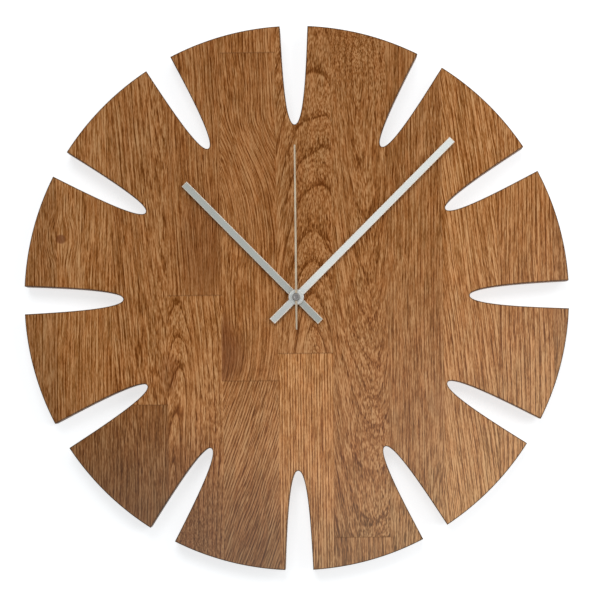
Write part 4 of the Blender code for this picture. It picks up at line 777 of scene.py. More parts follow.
@dataclass(frozen=True)
class OiledOak:
    """Oiled oak, glued up from staves: growth rings, pores, glue lines, dark places and a dark arris.

    A ramp keeps 255 steps, so the staves are 25 steps wide and start on one.
    """

    staves: tuple[Stave, ...] = STAVES
    patches: tuple[Patch, ...] = PATCHES
    knot: Patch = KNOT
    knot_reach: float = 12.0
    bow: Bow = BOW
    face_depth: float = 23.6
    start: float = -167.8
    step: float = 1.3
    steps: int = 255
    dark: Colour = (0.116, 0.032, 0.001)
    middle: Colour = (0.291, 0.118, 0.031)
    light: Colour = (0.500, 0.270, 0.118)
    warmth: Colour = (1.10, 0.88, 0.70)
    stain: Colour = (0.42, 0.30, 0.30)
    # Painted sheen: a pale veil added towards the lower right, for light mirrored by the oiled face
    painted_sheen: Colour = (0.030, 0.038, 0.040)
    bleach: Colour = (0.016, 0.022, 0.010)
    glue: Colour = (0.085, 0.032, 0.010)
    dark_arris: Colour = (0.050, 0.034, 0.020)

    def material(self) -> Material:
        """Make the finish.

        Returns:
            The material.
        """
        graph = Graph("oiled_oak")
        where = graph.place((0.0, -self.face_depth * MM, DIAL_Z))
        x, depth, z = graph.split(where)
        share = (x - self.start) / (self.step * self.steps)
        spread = self.knot_spread(x, z) + self.bowed(x, z)

        code = self.by_stave(graph, share, Stave.code)
        butt, crown, left = ((part - 0.5) * DISC_SPAN for part in graph.split(code))
        is_lower = z.below(butt)
        is_crown = 1.0 - z.below(crown)
        first, second, third = (
            graph.mix(
                is_lower,
                self.by_stave(graph, share, lambda stave: stave.upper.codes()[i]),
                self.by_stave(graph, share, lambda stave: stave.lower.codes()[i]))
            for i in range(3))
        heart_x, heart_depth, lean_x = graph.split(first)
        lean_depth, ring, tone = graph.split(second)
        red, bold, wave = graph.split(third)

        # Each plank has noise of its own, from a place of its own in the noise
        own = graph.vectors("ADD", where, graph.vectors("MULTIPLY", first, (0.0, 900.0, 0.0)))
        own = graph.vectors("ADD", own, graph.join(0.0, is_crown * 60, 0.0))
        bend = graph.noise(own, (30.0, 30.0, 90.0), 1.0)
        ripple = graph.noise(own, (7.0, 7.0, 26.0), 1.0)
        across = (
            x - spread - (heart_x - 0.5) * HEART_SPAN - (lean_x - 0.5) * z + bend * wave * 22
            + ripple * wave * 1.7 + is_crown * 9)
        down = depth + (heart_depth - 0.5) * DEPTH_SPAN + (lean_depth - 0.5) * z + bend * 8
        radius = (across * across + down * down).root()

        # Rings: early wood is the dark porous start of each one
        uneven = graph.noise(graph.join(radius, 0.0, heart_x * 99), (5.0, 1.0, 1.0), 1.0)
        phase = (radius / (ring * 10) + uneven * (wave * 1.8 + 0.1)).fraction()
        fall = ring * 20.0 - 1.4
        early = phase.ease(0.0, 0.08) * (1.0 - phase) ** fall
        usual = (fall + 1.0) ** -1.0

        # Short dark pores and long fibres, by the way outwards, round and up the tree
        round_heart = graph.maths("ARCTAN2", across, down) * down
        along = graph.join(radius, round_heart, z)
        dash = graph.noise(along, (0.36, 0.46, 8.0), 1.0)
        speck = graph.noise(along, (0.34, 0.42, 1.9), 0.0)
        fibre = graph.noise(along, (0.46, 0.75, 60.0), 1.5, 0.55)
        band = graph.noise(along, (2.6, 3.4, 40.0), 1.0)
        streak = graph.noise(own, (6.5, 6.5, 95.0))
        cloud = graph.noise(own, (26.0, 26.0, 60.0))
        dark_place = self.dark_places(graph, x, z, cloud)
        grain = dash * (1.5 + early * 0.9) + speck * 0.60 + fibre * 1.9 - (early - usual) * bold * 0.84
        bleached = (x * 0.8 - z).ease(110.0, 210.0)
        grain = grain * (1.0 - dark_place * 0.6) * (1.0 + bleached * 0.45)
        level = grain + band * 0.24 + streak * 0.36 + cloud * 0.38 + 0.50
        colour = graph.ramp(level, ((0.0, self.dark), (0.5, self.middle), (1.0, self.light)))

        # Redder and darker places, painted light and sheen lower right, painted shade lower left
        hue = graph.noise(own, (3.2, 3.2, 16.0))
        redder = graph.mix(red * 0.5 + hue * 1.2 + 0.05, colour, self.warmth, "MULTIPLY")
        stained = graph.mix(dark_place, redder, self.stain, "MULTIPLY")
        # Where the painted sheen and painted light fall, and the painted shade
        sheen_mask = (x * 0.5 - z).ease(-20.0, 160.0)
        painted_light = (x * 0.45 - z).ease(-150.0, 110.0)
        shade = 1.0 - (x * -0.5 - z).ease(85.0, 175.0) * 0.38
        toned_and_lit = graph.scale_colour(stained, tone * 2 * shade * (0.91 + painted_light * 0.20))
        sheened = graph.mix(sheen_mask, toned_and_lit, self.painted_sheen, "ADD")
        sheened = graph.mix(bleached, sheened, self.bleach, "ADD")

        seam = (x - left).ease(0.8, 0.1)
        for joint in (butt, crown):
            seam = seam.most(abs(z - joint).ease(0.7, 0.1))
        lined = graph.mix(seam * 0.34, sheened, self.glue)
        # Darker along the arris, the margin beside it and the ends of the walls
        edge = graph.attribute("edge").least(1.0)
        base = graph.mix(edge * 0.66, lined, self.dark_arris)

        height = 0.5 + dash * 0.9 + speck * 0.5 - early * 0.15
        roughness = 0.50 - dash * 0.35 - fibre * 0.2
        return graph.surface(
            {"Base Color": base, "Roughness": roughness, "Normal": graph.bump(height, 0.05, 0.5),
             "IOR": 1.40, "Specular IOR Level": 0.14})

    def knot_spread(self, x: Value, z: Value) -> Value:
        """How far the grain gives way to the knot: its distance from the middle times a smooth bump.

        Args:
            x: Sideways place, in millimetres.
            z: Height, in millimetres.

        Returns:
            The sideways shift.
        """
        side, up = x - self.knot.x, z - self.knot.z
        near = (1.0 - (side * side + up * up * 0.5) / self.knot_reach ** 2).ease(0.0, 1.0)
        return side * near * 0.5

    def bowed(self, x: Value, z: Value) -> Value:
        """How far the grain of the bowed plank is shifted to the right."""
        up = (z - self.bow.z) / self.bow.reach
        return (1.0 - up * up).ease(0.0, 1.0) * within(self.bow, x, z) * self.bow.shift

    def by_stave(self, graph: Graph, share: Value, pick: Callable[[Stave], Colour]) -> Socket:
        """Look up something of the stave at a place.

        Args:
            graph: The material's graph.
            share: How far across the disc the place is, from 0 to 1.
            pick: What is looked up.

        Returns:
            It, as a colour.
        """
        whole = self.step * self.steps
        origin = self.start + self.step / 50
        stops = [(max(0.0, (stave.left - origin) / whole), pick(stave)) for stave in self.staves]
        return graph.ramp(share, stops, "CONSTANT")

    def dark_places(self, graph: Graph, x: Value, z: Value, rag: Value) -> Value:
        """How dark the wood is from its patches, from 0 to 1.

        A patch is 1 less the squared distance from its middle in units of its half size, with ragged
        edges, and nothing outside its plank.

        Args:
            graph: The material's graph.
            x: Sideways place, in millimetres.
            z: Height, in millimetres.
            rag: Noise for the edges.

        Returns:
            The darkness.
        """
        total = 0.0
        for patch in self.patches:
            side, up = (x - patch.x) / patch.width, (z - patch.z) / patch.height
            oval = (1.0 - (side * side + up * up) + rag * 1.3).ease(0.0, 0.8)
            total = (oval * within(patch, x, z) * patch.strength).most(total)
        return total


class Brushing(Enum):
    """How a metal surface was worked."""

    LENGTHWISE = auto()
    TURNED = auto()
    BLASTED = auto()


@dataclass(frozen=True)
class WorkedMetal:
    """Bare metal with the marks of its working, and a painted highlight or shade where the mesh marks an
    edge.
    """

    name: str
    colour: Colour
    painted_edge_colour: Colour
    roughness: float = 0.34
    brushing: Brushing = Brushing.BLASTED
    turn: float = 0.0
    metallic: float = 1.0
    wear: float = 0.05
    painted_tail_shade: float = 0.0

    def material(self) -> Material:
        """Make the finish.

        Returns:
            The material.
        """
        graph = Graph(self.name)
        centred = graph.add(
            "ShaderNodeMapping", {"vector_type": "POINT"},
            {"Vector": graph.place((0.0, 0.0, DIAL_Z)),
             "Rotation": (0.0, math.radians(-self.turn), 0.0)}).outputs["Vector"]
        x, _, z = graph.split(centred)
        if self.brushing is Brushing.LENGTHWISE:
            marks = graph.noise(centred, (0.12, 0.12, 14.0), 2.0, 0.6)
        elif self.brushing is Brushing.TURNED:
            radius = (x * x + z * z).root()
            marks = graph.noise(graph.join(radius, 0.0, 0.0), (0.12, 1.0, 1.0), 2.0, 0.6)
        else:
            marks = graph.noise(centred, (0.3, 0.3, 0.3), 3.0, 0.6)
        smudge = graph.noise(centred, (9.0, 9.0, 22.0))
        shade = 1.0 + marks * self.wear * 2 + smudge * self.wear
        # Painted shade: darker towards the tail of a hand
        if self.painted_tail_shade:
            shade = shade * (1.0 - z.ease(25.0, -15.0) * self.painted_tail_shade)
        # Painted highlight along marked edges, or painted shade where the edge colour is the darker one
        edge = graph.attribute("edge").least(1.0)
        body = graph.scale_colour(self.colour, shade)
        base = graph.mix(edge, body, self.painted_edge_colour)
        roughness = self.roughness + marks * 0.16 + smudge * 0.10
        return graph.surface(
            {"Base Color": base, "Roughness": roughness, "Metallic": self.metallic,
             "Normal": graph.bump(marks, 0.004, 0.5)})


@dataclass(frozen=True)
class Moulded:
    """Moulded plastic, rubber or resin, with a fine spark-eroded grain and faint flow clouds."""

    name: str
    colour: Colour
    roughness: float = 0.45
    grain: float = 0.35
    relief: float = 0.012
    cloud: float = 0.10

    def material(self) -> Material:
        """Make the finish.

        Returns:
            The material.
        """
        graph = Graph(self.name)
        where = graph.place()
        grain = graph.noise(where, (self.grain,) * 3, 2.0, 0.6)
        cloud = graph.noise(where, (11.0, 11.0, 11.0), 3.0)
        shade = 1.0 + cloud * self.cloud * 2 + grain * self.cloud
        base = graph.scale_colour(self.colour, shade)
        roughness = self.roughness + grain * 0.2 + cloud * 0.08
        return graph.surface(
            {"Base Color": base, "Roughness": roughness,
             "Normal": graph.bump(grain, self.relief, 0.7)})


@dataclass(frozen=True)
class CellJacket:
    """A cell's shrunk film in two plain colours, with bare metal where the mesh marks it."""

    film: Colour = (0.47, 0.48, 0.49)
    band: Colour = (0.030, 0.055, 0.085)
    metal: Colour = (0.62, 0.61, 0.59)
    line: Colour = (0.70, 0.70, 0.68)
    band_from: float = -9.0
    line_width: float = 0.35
    overlap: float = 8.9
    overlap_width: float = 0.12

    def material(self) -> Material:
        """Make the finish.

        Returns:
            The material.
        """
        graph = Graph("cell_jacket")
        where = graph.place()
        x, depth, _ = graph.split(where)
        bare = graph.attribute("edge").ease(0.4, 0.6)
        is_band = x.below(self.band_from)
        is_line = abs(x - self.band_from).below(self.line_width)
        film = graph.mix(is_band, self.film, self.band)
        film = graph.mix(is_line, film, self.line)
        crease = graph.noise(where, (9.0, 2.5, 2.5))
        lap = abs(depth + self.overlap).below(self.overlap_width)
        scuffs = graph.noise(where, (0.5, 0.25, 0.25), 2.0, 0.6)
        shade = 1.0 + crease * 0.08 - lap * 0.25
        base = graph.mix(bare, graph.scale_colour(film, shade), self.metal)
        roughness = 0.26 + scuffs * 0.12 + bare * 0.08
        height = crease * 0.5 + scuffs * 0.1 + lap * 0.4
        return graph.surface(
            {"Base Color": base, "Roughness": roughness, "Metallic": bare,
             "Normal": graph.bump(height, 0.03, 0.6)})


@dataclass(frozen=True)
class OpenFoam:
    """Closed-cell foam with a skin of small bubbles."""

    colour: Colour = (0.74, 0.73, 0.69)
    cell: float = 0.45

    def material(self) -> Material:
        """Make the finish.

        Returns:
            The material.
        """
        graph = Graph("pad_foam")
        scaled = graph.vectors("DIVIDE", graph.place(), (self.cell,) * 3)
        cells = graph.add("ShaderNodeTexVoronoi", {"feature": "F1"}, {"Vector": scaled, "Scale": 1.0})
        bubble = Value(graph, cells.outputs["Distance"])
        # Painted shade: darker in the middle of each bubble, where its hollow is
        shade = 0.80 + bubble * 0.30
        base = graph.scale_colour(self.colour, shade)
        return graph.surface(
            {"Base Color": base, "Roughness": 0.85 + bubble * 0.1,
             "Normal": graph.bump(bubble, 0.15, 0.8)})


# Pieces

@dataclass
class DialBoard:
    """The slotted oak disc, with the recesses in its back."""

    radius: float = 160.0
    back: float = 3.6
    face: float = 23.6
    arris: float = 0.45
    slots: int = 12
    slot_depth: float = 58.2
    mouth: float = 16.4
    nose_handle: float = 5.6
    wall_handle: float = 23.6
    wall_slope: float = 0.045
    side_steps: int = 40
    rim_steps: int = 28
    margin: float = 0.9
    fade: float = 1.1
    case_size: float = 56.0
    case_corner: float = 4.5
    pocket_gap: float = 0.6
    pocket_ease: float = 0.3
    pocket_floor: float = 19.2
    bore: float = 8.5
    seat_gap: float = 0.3
    room_width: float = 11.0
    room_depth: float = 8.0
    pilot: float = 3.6
    pilot_end: float = 12.3

    def slot_side(self) -> np.ndarray:
        """One side of a slot that runs out along +X, as a cubic curve from its nose to the rim.

        The curve is (1-t)^3 a + 3t(1-t)^2 b + 3t^2(1-t) c + t^3 d. It leaves the nose a square to the
        middle line, and meets the rim at d with the wall's slope.

        Returns:
            The curve's points.
        """
        half = self.mouth / 2
        wall = complex(1.0, self.wall_slope)
        wall /= abs(wall)
        nose = complex(self.radius - self.slot_depth, 0.0)
        rim = complex(math.sqrt(self.radius ** 2 - half ** 2), half)
        t = np.linspace(0.0, 1.0, self.side_steps + 1)
        return (
            (1 - t) ** 3 * nose + 3 * t * (1 - t) ** 2 * (nose + 1j * self.nose_handle)
            + 3 * t ** 2 * (1 - t) * (rim - self.wall_handle * wall) + t ** 3 * rim)

    def outline(self) -> np.ndarray:
        """The whole rim: for each petal one slot's side out, an arc, and the next slot's side back.

        Returns:
            The outline, counter-clockwise.
        """
        side = self.slot_side()
        turn = 2 * math.pi / self.slots
        mouth = np.angle(side[-1])
        rim = self.radius * np.exp(1j * np.linspace(mouth, turn - mouth, self.rim_steps + 1)[1:-1])
        back_side = (side.conj() * np.exp(1j * turn))[::-1][:-1]
        petal = np.concatenate([side, rim, back_side])
        turns = np.exp(1j * turn * np.arange(self.slots))
        return (turns[:, None] * petal).reshape(-1)

    def flat(self, outline: np.ndarray) -> tuple[np.ndarray, np.ndarray]:
        """Fill the outline with petals and a middle.

        A petal's point is at the radius of its row, with its angle shared out evenly between the two
        slots' sides. The middle is rings whose radii shrink to nothing.

        Args:
            outline: The outline of the flat face.

        Returns:
            The petals, by petal, row and column, and the middle, by ring and column.
        """
        steps = self.side_steps
        petals = outline.reshape(self.slots, -1)
        nexts = np.roll(petals, -1, axis=0)[:, :1]
        left = petals[:, :steps + 1]
        right = np.concatenate([petals[:, steps + self.rim_steps:], nexts], axis=1)[:, ::-1]
        share = np.linspace(0.0, 1.0, self.rim_steps + 1)
        sweep = np.angle(right / left)[..., None] * share
        grid = left[..., None] * np.exp(1j * sweep)
        grid[:, -1] = petals[:, steps:steps + self.rim_steps + 1]
        ring = grid[:, 0, :-1].reshape(-1)
        middle = ring * np.linspace(1.0, 0.0, 9)[:, None]
        return grid, middle

    def build(self) -> Piece:
        """Build the disc.

        Returns:
            The piece.
        """
        outline, fade = self.outline(), self.fade
        front = [
            (self.margin, self.face, 0.0), (self.margin * 0.7, self.face, 0.12),
            *eased(-self.arris, self.face, 6, 1.0)]
        plain = np.linspace(self.face - 2 * fade, self.back + 2 * fade, 6)
        walls = [
            (0.0, self.face - fade, 0.45), *((0.0, depth, 0.0) for depth in plain),
            (0.0, self.back + fade, 0.45)]
        rear = [(inset, self.back + self.face - depth, mark) for inset, depth, mark in reversed(front)]
        shape = carried(outline, front + walls + rear)
        petals, middle = self.flat(outline - mitres(outline) * self.margin)
        for depth in (self.face, self.back):
            for petal in petals:
                shape.add(place(petal, depth))
            shape.add(place(middle, depth), closed=True)
        return combine(shape.build("dial_board_oak"), Joining.DIFFERENCE, *self.cutters())

    def cutters(self) -> list[Shape]:
        """Tools for the movement's pocket, the bore, and the hanger's seat, head room and pilots.

        Returns:
            The tools.
        """
        size = self.case_size + 2 * self.pocket_gap
        pocket = carried(rounded_box(size, size, self.case_corner + self.pocket_gap), (
            (-OVER - self.pocket_ease, self.back - OVER), (0.0, self.back + self.pocket_ease),
            (0.0, self.pocket_floor)), 0j)
        bore = pin(self.bore / 2, self.pocket_floor - OVER, self.face + OVER)
        plate = HangerPlate()
        low = self.back + plate.thickness
        seat = carried(
            plate.outline(self.seat_gap), ((0.0, self.back - OVER), (0.0, low + self.seat_gap)),
            plate.centre)
        room = carried(
            capsule(self.room_width, plate.entry, plate.hook), ((0.0, low), (0.0, low + self.room_depth)),
            plate.centre)
        high = self.back + self.pilot_end
        pilots = [pin(self.pilot / 2, low, high, spot, 24) for spot in plate.screw_places()]
        return [pocket, bore, seat, room, *pilots]


@dataclass
class HangerPlate:
    """Steel plate with a keyhole and two countersunk screws.

    The screw's profile is rows of (radius, depth behind the plate's back, mark for the painted
    highlight).
    """

    width: float = 44.0
    height: float = 22.0
    thickness: float = 1.5
    corner: float = 5.0
    back: float = 3.6
    travel: float = 8.0
    entry_diameter: float = 9.0
    neck_width: float = 4.8
    spacing: float = 32.0
    ease: float = 0.18
    screw_gap: float = 0.2
    head_diameter: float = 6.4
    shank_diameter: float = 3.2
    head_height: float = 1.6
    screw_profile: Rows = (
        (0.0, 0.05), (2.95, 0.02, 0.6), (3.15, 0.08, 1.0), (3.2, 0.2), (1.6, 1.6), (1.6, 10.0),
        (0.0, 12.0))
    recess_radius: float = 1.2
    recess_wall: float = 0.5
    recess_depth: float = 0.9

    @property
    def hook(self) -> complex:
        """Where the wall screw bears, in the dial plane."""
        return complex(0.0, -DIAL_Z / MM)

    @property
    def centre(self) -> complex:
        """The plate's centre."""
        return self.hook - 0.5j * self.travel

    @property
    def entry(self) -> complex:
        """The centre of the keyhole's round end."""
        return self.hook - 1j * self.travel

    def screw_places(self) -> list[complex]:
        """The two screws."""
        return [self.centre - self.spacing / 2, self.centre + self.spacing / 2]

    def outline(self, gap: float = 0.0) -> np.ndarray:
        """The plate's outline, moved outwards by a gap."""
        return rounded_box(self.width + 2 * gap, self.height + 2 * gap, self.corner + gap, self.centre)

    def build_plate(self) -> Piece:
        """Build the plate, with eased edges, its keyhole and two countersinks.

        Returns:
            The piece.
        """
        ease, back, front = self.ease, self.back, self.back + self.thickness
        # The back's eased edge is marked for the steel's painted highlight
        plate = carried(self.outline(), (
            (ease * 2, back), (ease, back), (ease * 0.3, back + ease * 0.3, 1.0), (0.0, back + ease),
            (0.0, front - ease), (ease, front)), self.centre).build("hanger_plate_steel")
        entry = turned((
            (0.0, back - OVER), (self.entry_diameter / 2 + OVER, back - OVER),
            (self.entry_diameter / 2, back + ease), (self.entry_diameter / 2, front + OVER),
            (0.0, front + OVER)), self.entry)
        neck = carried(capsule(self.neck_width, self.entry, self.hook), (
            (-OVER, back - OVER), (0.0, back + ease), (0.0, front + OVER)), self.centre)
        gap = self.screw_gap
        head, shank = self.head_diameter / 2 + gap, self.shank_diameter / 2 + gap
        sink = (
            (0.0, back - OVER), (head, back - OVER), (head, back + gap),
            (shank, back + self.head_height + gap), (shank, front + OVER), (0.0, front + OVER))
        sinks = [turned(sink, spot, 40) for spot in self.screw_places()]
        return combine(plate, Joining.DIFFERENCE, entry, neck, *sinks)

    def build_screw(self, number: int, spot: complex) -> Piece:
        """A countersunk screw with a square recess.

        Args:
            number: The screw's number.
            spot: Its place.

        Returns:
            The piece.
        """
        profile = [(radius, self.back + depth, *mark) for radius, depth, *mark in self.screw_profile]
        screw = turned(profile, spot, 40).build(f"hanger_screw_steel_{number}")
        recess = carried(circle(self.recess_radius, 4, spot), (
            (0.0, self.back - OVER), (0.0, self.back + self.recess_wall),
            (0.25, self.back + self.recess_depth)), spot)
        return combine(screw, Joining.DIFFERENCE, recess)


@dataclass
class WallBumper:
    """A rubber disc on the back of a petal."""

    node: str
    rim: float = 0.5
    dish: float = 0.12
    soft: float = 0.35

    def build(self) -> Piece:
        """Build the disc, with a soft rim and a slightly dished face, where its node is.

        Returns:
            The piece.
        """
        low, high = (Vector(corner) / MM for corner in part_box(self.node))
        radius = (high.x - low.x) / 2
        centre = complex((low.x + high.x) / 2, (low.z + high.z) / 2 - DIAL_Z / MM)
        wall, board = -high.y, -low.y
        profile = rounded(
            ((radius * 0.55, wall + self.dish * 0.2), (radius - self.rim, wall),
             (radius, wall + self.rim), (radius, board), (0.0, board)), self.soft)
        return turned([(0.0, wall + self.dish), *profile], centre, 72).build(self.node + "_rubber")


@dataclass
class BarHand:
    """A straight hand with bevelled edges, square ends and a raised round eye."""

    name: str
    length: float
    tail: float
    width: float
    back: float
    clock_angle: float
    hole: float
    thickness: float = 0.8
    bevel: float = 0.35
    soft: float = 0.05
    eye: float = 9.0
    eye_rise: float = 0.2
    rows: int = 24
    columns: int = 5

    def build(self) -> Piece:
        """Build the hand.

        Returns:
            The piece.
        """
        back, front, bevel, soft = self.back, self.back + self.thickness, self.bevel, self.soft
        rows, columns = self.rows, self.columns
        along = np.linspace(-self.tail, self.length, rows)
        across = np.linspace(-self.width / 2, self.width / 2, columns)
        grid = across[None, :] + 1j * along[:, None]
        outline = np.concatenate([grid[:, -1], grid[-1, -2:0:-1], grid[::-1, 0], grid[0, 1:-1]])
        outline = outline * np.exp(-1j * math.radians(self.clock_angle))
        # Marks take the finish's painted highlight on the bevels and the eye's rim
        profile = (
            (soft, back, 0.0), (0.0, back + soft, 0.0), (0.0, front - bevel, 0.4),
            (0.03, front - bevel + 0.03, 1.0), (bevel, front, 1.0), (bevel + 0.06, front, 0.0))
        shape = carried(outline, profile)
        for inset, depth, _ in (profile[0], profile[-1]):
            right, top, left, bottom = np.split(
                outline - mitres(outline) * inset, np.cumsum([rows, columns - 2, rows]))
            face = left[::-1, None] + (right - left[::-1])[:, None] * np.linspace(0.0, 1.0, columns)
            face[-1, 1:-1] = top[::-1]
            face[0, 1:-1] = bottom
            shape.add(place(face, depth))
        radius, rise = self.eye / 2, self.eye_rise
        eye = turned((
            (0.0, back), (radius, back), (radius, front - 0.04, 0.6), (radius - rise, front + rise, 1.0),
            (radius - rise - 0.1, front + rise, 0.1), (radius * 0.7, front + rise, 0.0),
            (0.0, front + rise, 0.0)), steps=96)
        hand = combine(shape.build(self.name), Joining.UNION, eye)
        return combine(hand, Joining.DIFFERENCE, pin(self.hole / 2, back - OVER, front + OVER))


@dataclass
class SecondHand:
    """A thin needle that narrows towards both ends, with an eye, and its round cap."""

    length: float = 89.3
    tail: float = 19.1
    root: float = 1.3
    tip: float = 1.0
    back: float = 30.1
    thickness: float = 0.4
    eye: float = 3.4
    hole: float = 1.4
    ease: float = 0.12
    cap: float = 4.5
    cap_gap: float = 0.3
    cap_height: float = 0.8
    cap_dish: float = 0.25

    def build_needle(self) -> Piece:
        """Build the needle, whose width at a height h is root less (root - tip) times h over the length.

        Returns:
            The piece.
        """
        front = self.back + self.thickness
        along = np.concatenate([np.linspace(-self.tail, 0.0, 8), np.linspace(0.0, self.length, 24)[1:]])
        reach = np.where(along < 0, self.tail, self.length)
        half = (self.root - (self.root - self.tip) * np.abs(along) / reach) / 2
        # Marks take the finish's painted shade along the needle's edges
        needle = ruled(half + 1j * along, -half + 1j * along, (
            (0.0, self.back, 0.0), (0.0, front - self.ease, 0.5), (self.ease, front, 0.6)))
        eye = pin(self.eye / 2, self.back, front, steps=48)
        hole = pin(self.hole / 2, self.back - OVER, front + OVER, steps=24)
        needle = combine(needle.build("second_hand_needle"), Joining.UNION, eye)
        return combine(needle, Joining.DIFFERENCE, hole)

    def build_cap(self) -> Piece:
        """Build the cap, a turned button with a rounded rim and a dished middle.

        Returns:
            The piece.
        """
        radius, dish = self.cap / 2, self.cap_dish
        back = self.back + self.thickness + self.cap_gap
        front = back + self.cap_height
        profile = rounded((
            (0.0, back), (radius, back), (radius, front - dish), (radius - dish, front),
            (radius * 0.56, front), (radius * 0.46, front - dish * 0.8), (0.0, front - dish)), self.ease)
        # The flat ring round the dish is marked for the finish's painted highlight
        marks = [
            (r, d, float(radius * 0.52 < r < radius * 0.86 and d > front - 0.1)) for r, d in profile]
        return turned(marks, steps=96).build("second_hand_cap_turned")


@dataclass
class FoamPad:
    """The double-sided pad between the movement and the floor of its pocket."""

    size: float = 50.0
    corner: float = 1.5
    hole: float = 13.9
    back: float = 18.1
    thickness: float = 0.8
    bulge: float = 0.12
    rim: float = 0.86
    steps: int = 160

    def build(self) -> Piece:
        """Build the pad.

        Both faces run from the outer line to the round hole, as (1-v) outer + v hole, and are crowned
        by the sine of pi v. The two rims are half circles that swell between the faces.

        Returns:
            The piece.
        """
        turn = circle(1.0, self.steps)
        side = self.size / 2 - self.bulge
        reach = np.maximum(np.abs(turn.real), np.abs(turn.imag))
        soft = (np.abs(turn.real) ** 14 + np.abs(turn.imag) ** 14) ** (1 / 14)
        outer = turn * side / np.maximum(soft, reach)
        inner = turn * (self.hole / 2 + self.bulge)
        middle = self.back + self.thickness / 2
        shape = Shape()
        v = np.linspace(0.0, 1.0, 16)[:, None]
        rise = self.thickness / 2 * (self.rim + (1 - self.rim) * np.sin(math.pi * v))
        face = (1 - v) * outer + v * inner
        bend = np.linspace(-math.pi / 2, math.pi / 2, 7)[:, None]
        for sign in (1, -1):
            shape.add(place(face, middle + sign * rise), closed=True)
        for line, sign in ((outer, 1), (inner, -1)):
            away = line / np.abs(line) * sign * self.bulge
            depth = middle + self.thickness / 2 * self.rim * np.sin(bend)
            shape.add(place(line + away * np.cos(bend), depth), closed=True)
        return shape.build("mounting_pad_foam", 60.0)


@dataclass
class MovementCover:
    """The cover over the train, with a lip inside the tray, the knob's well and a turning arrow.

    An arrow is its radius, width, start and end, in millimetres and degrees.
    """

    low: complex = complex(-28.0, -11.3975)
    high: complex = complex(28.0, 27.9975)
    corner: float = 4.5
    square_corner: float = 0.3
    back: float = 1.6
    front: float = 2.8
    ease: float = 0.28
    lip_low: complex = complex(-26.7, -10.8975)
    lip_high: complex = complex(26.7, 26.6975)
    lip_corner: float = 3.2
    lip_wall: float = 0.8
    lip_back: float = 2.5
    lip_front: float = 4.3
    knob: complex = complex(16.7055, 7.7335)
    well: float = 7.8
    well_floor: float = 2.1
    shaft_hole: float = 1.4
    panel_low: complex = complex(-24.6, -8.2)
    panel_high: complex = complex(5.6, 24.6)
    panel_corner: float = 2.6
    panel_sink: float = 0.22
    mark_inset: float = 4.0
    mark_radius: float = 1.1
    mark_sink: float = 0.07
    notch: float = 3.2
    notch_depth: float = 0.75
    notch_centre: float = 29.3975
    arrow: tuple[float, float, float, float] = (9.6, 0.55, 122.0, 202.0)

    def build(self) -> Piece:
        """Build the cover.

        Returns:
            The piece.
        """
        back, wall = self.back, self.lip_wall
        outline = box(
            self.low, self.high, (self.corner, self.corner, self.square_corner, self.square_corner))
        plate = carried(outline, [
            *eased(self.ease, back, 5), (0.0, self.front - 0.1), (0.1, self.front)],
            (self.low + self.high) / 2)
        lip = carried(box(self.lip_low, self.lip_high, (self.lip_corner,) * 4), (
            (0.0, self.lip_back), (0.0, self.lip_front - 0.2), (0.2, self.lip_front),
            (wall - 0.2, self.lip_front), (wall, self.lip_front - 0.2), (wall, self.lip_back),
            (0.0, self.lip_back)))
        arrow = ruled(*arc_arrow(*self.arrow, self.knob), (
            (0.0, back + 0.5), (0.0, back - 0.10), (0.03, back - 0.15)))
        cover = combine(plate.build("movement_cover"), Joining.UNION, lip, arrow)
        return combine(cover, Joining.DIFFERENCE, *self.cutters())

    def cutters(self) -> list[Shape]:
        """Tools for the knob's well, the shaft's hole, the panel, the notch and the pin marks.

        Returns:
            The tools.
        """
        back, well, notch = self.back, self.well, self.notch
        well = turned((
            (0.0, back - OVER), (well + 0.25 + OVER, back - OVER), (well + 0.25, back),
            (well, back + 0.2), (well, self.well_floor), (0.0, self.well_floor)), self.knob, 96)
        hole = pin(self.shaft_hole, back - OVER, self.front + OVER, self.knob, 32)
        panel = carried(box(self.panel_low, self.panel_high, (self.panel_corner,) * 4), (
            (-OVER, back - OVER), (0.0, back), (0.18, back + self.panel_sink)),
            (self.panel_low + self.panel_high) / 2)
        prise = turned((
            (0.0, back - OVER), (notch + OVER, back - OVER), (notch, back),
            (notch - 0.4, back + self.notch_depth), (0.0, back + self.notch_depth)),
            1j * self.notch_centre, 48)
        inwards = complex(self.mark_inset, self.mark_inset)
        first, last = self.panel_low + inwards, self.panel_high - inwards
        marks = [
            pin(self.mark_radius, back - OVER, back + self.panel_sink + self.mark_sink, spot, 24)
            for spot in (first, last, complex(first.real, last.imag))]
        return [well, hole, panel, prise, *marks]


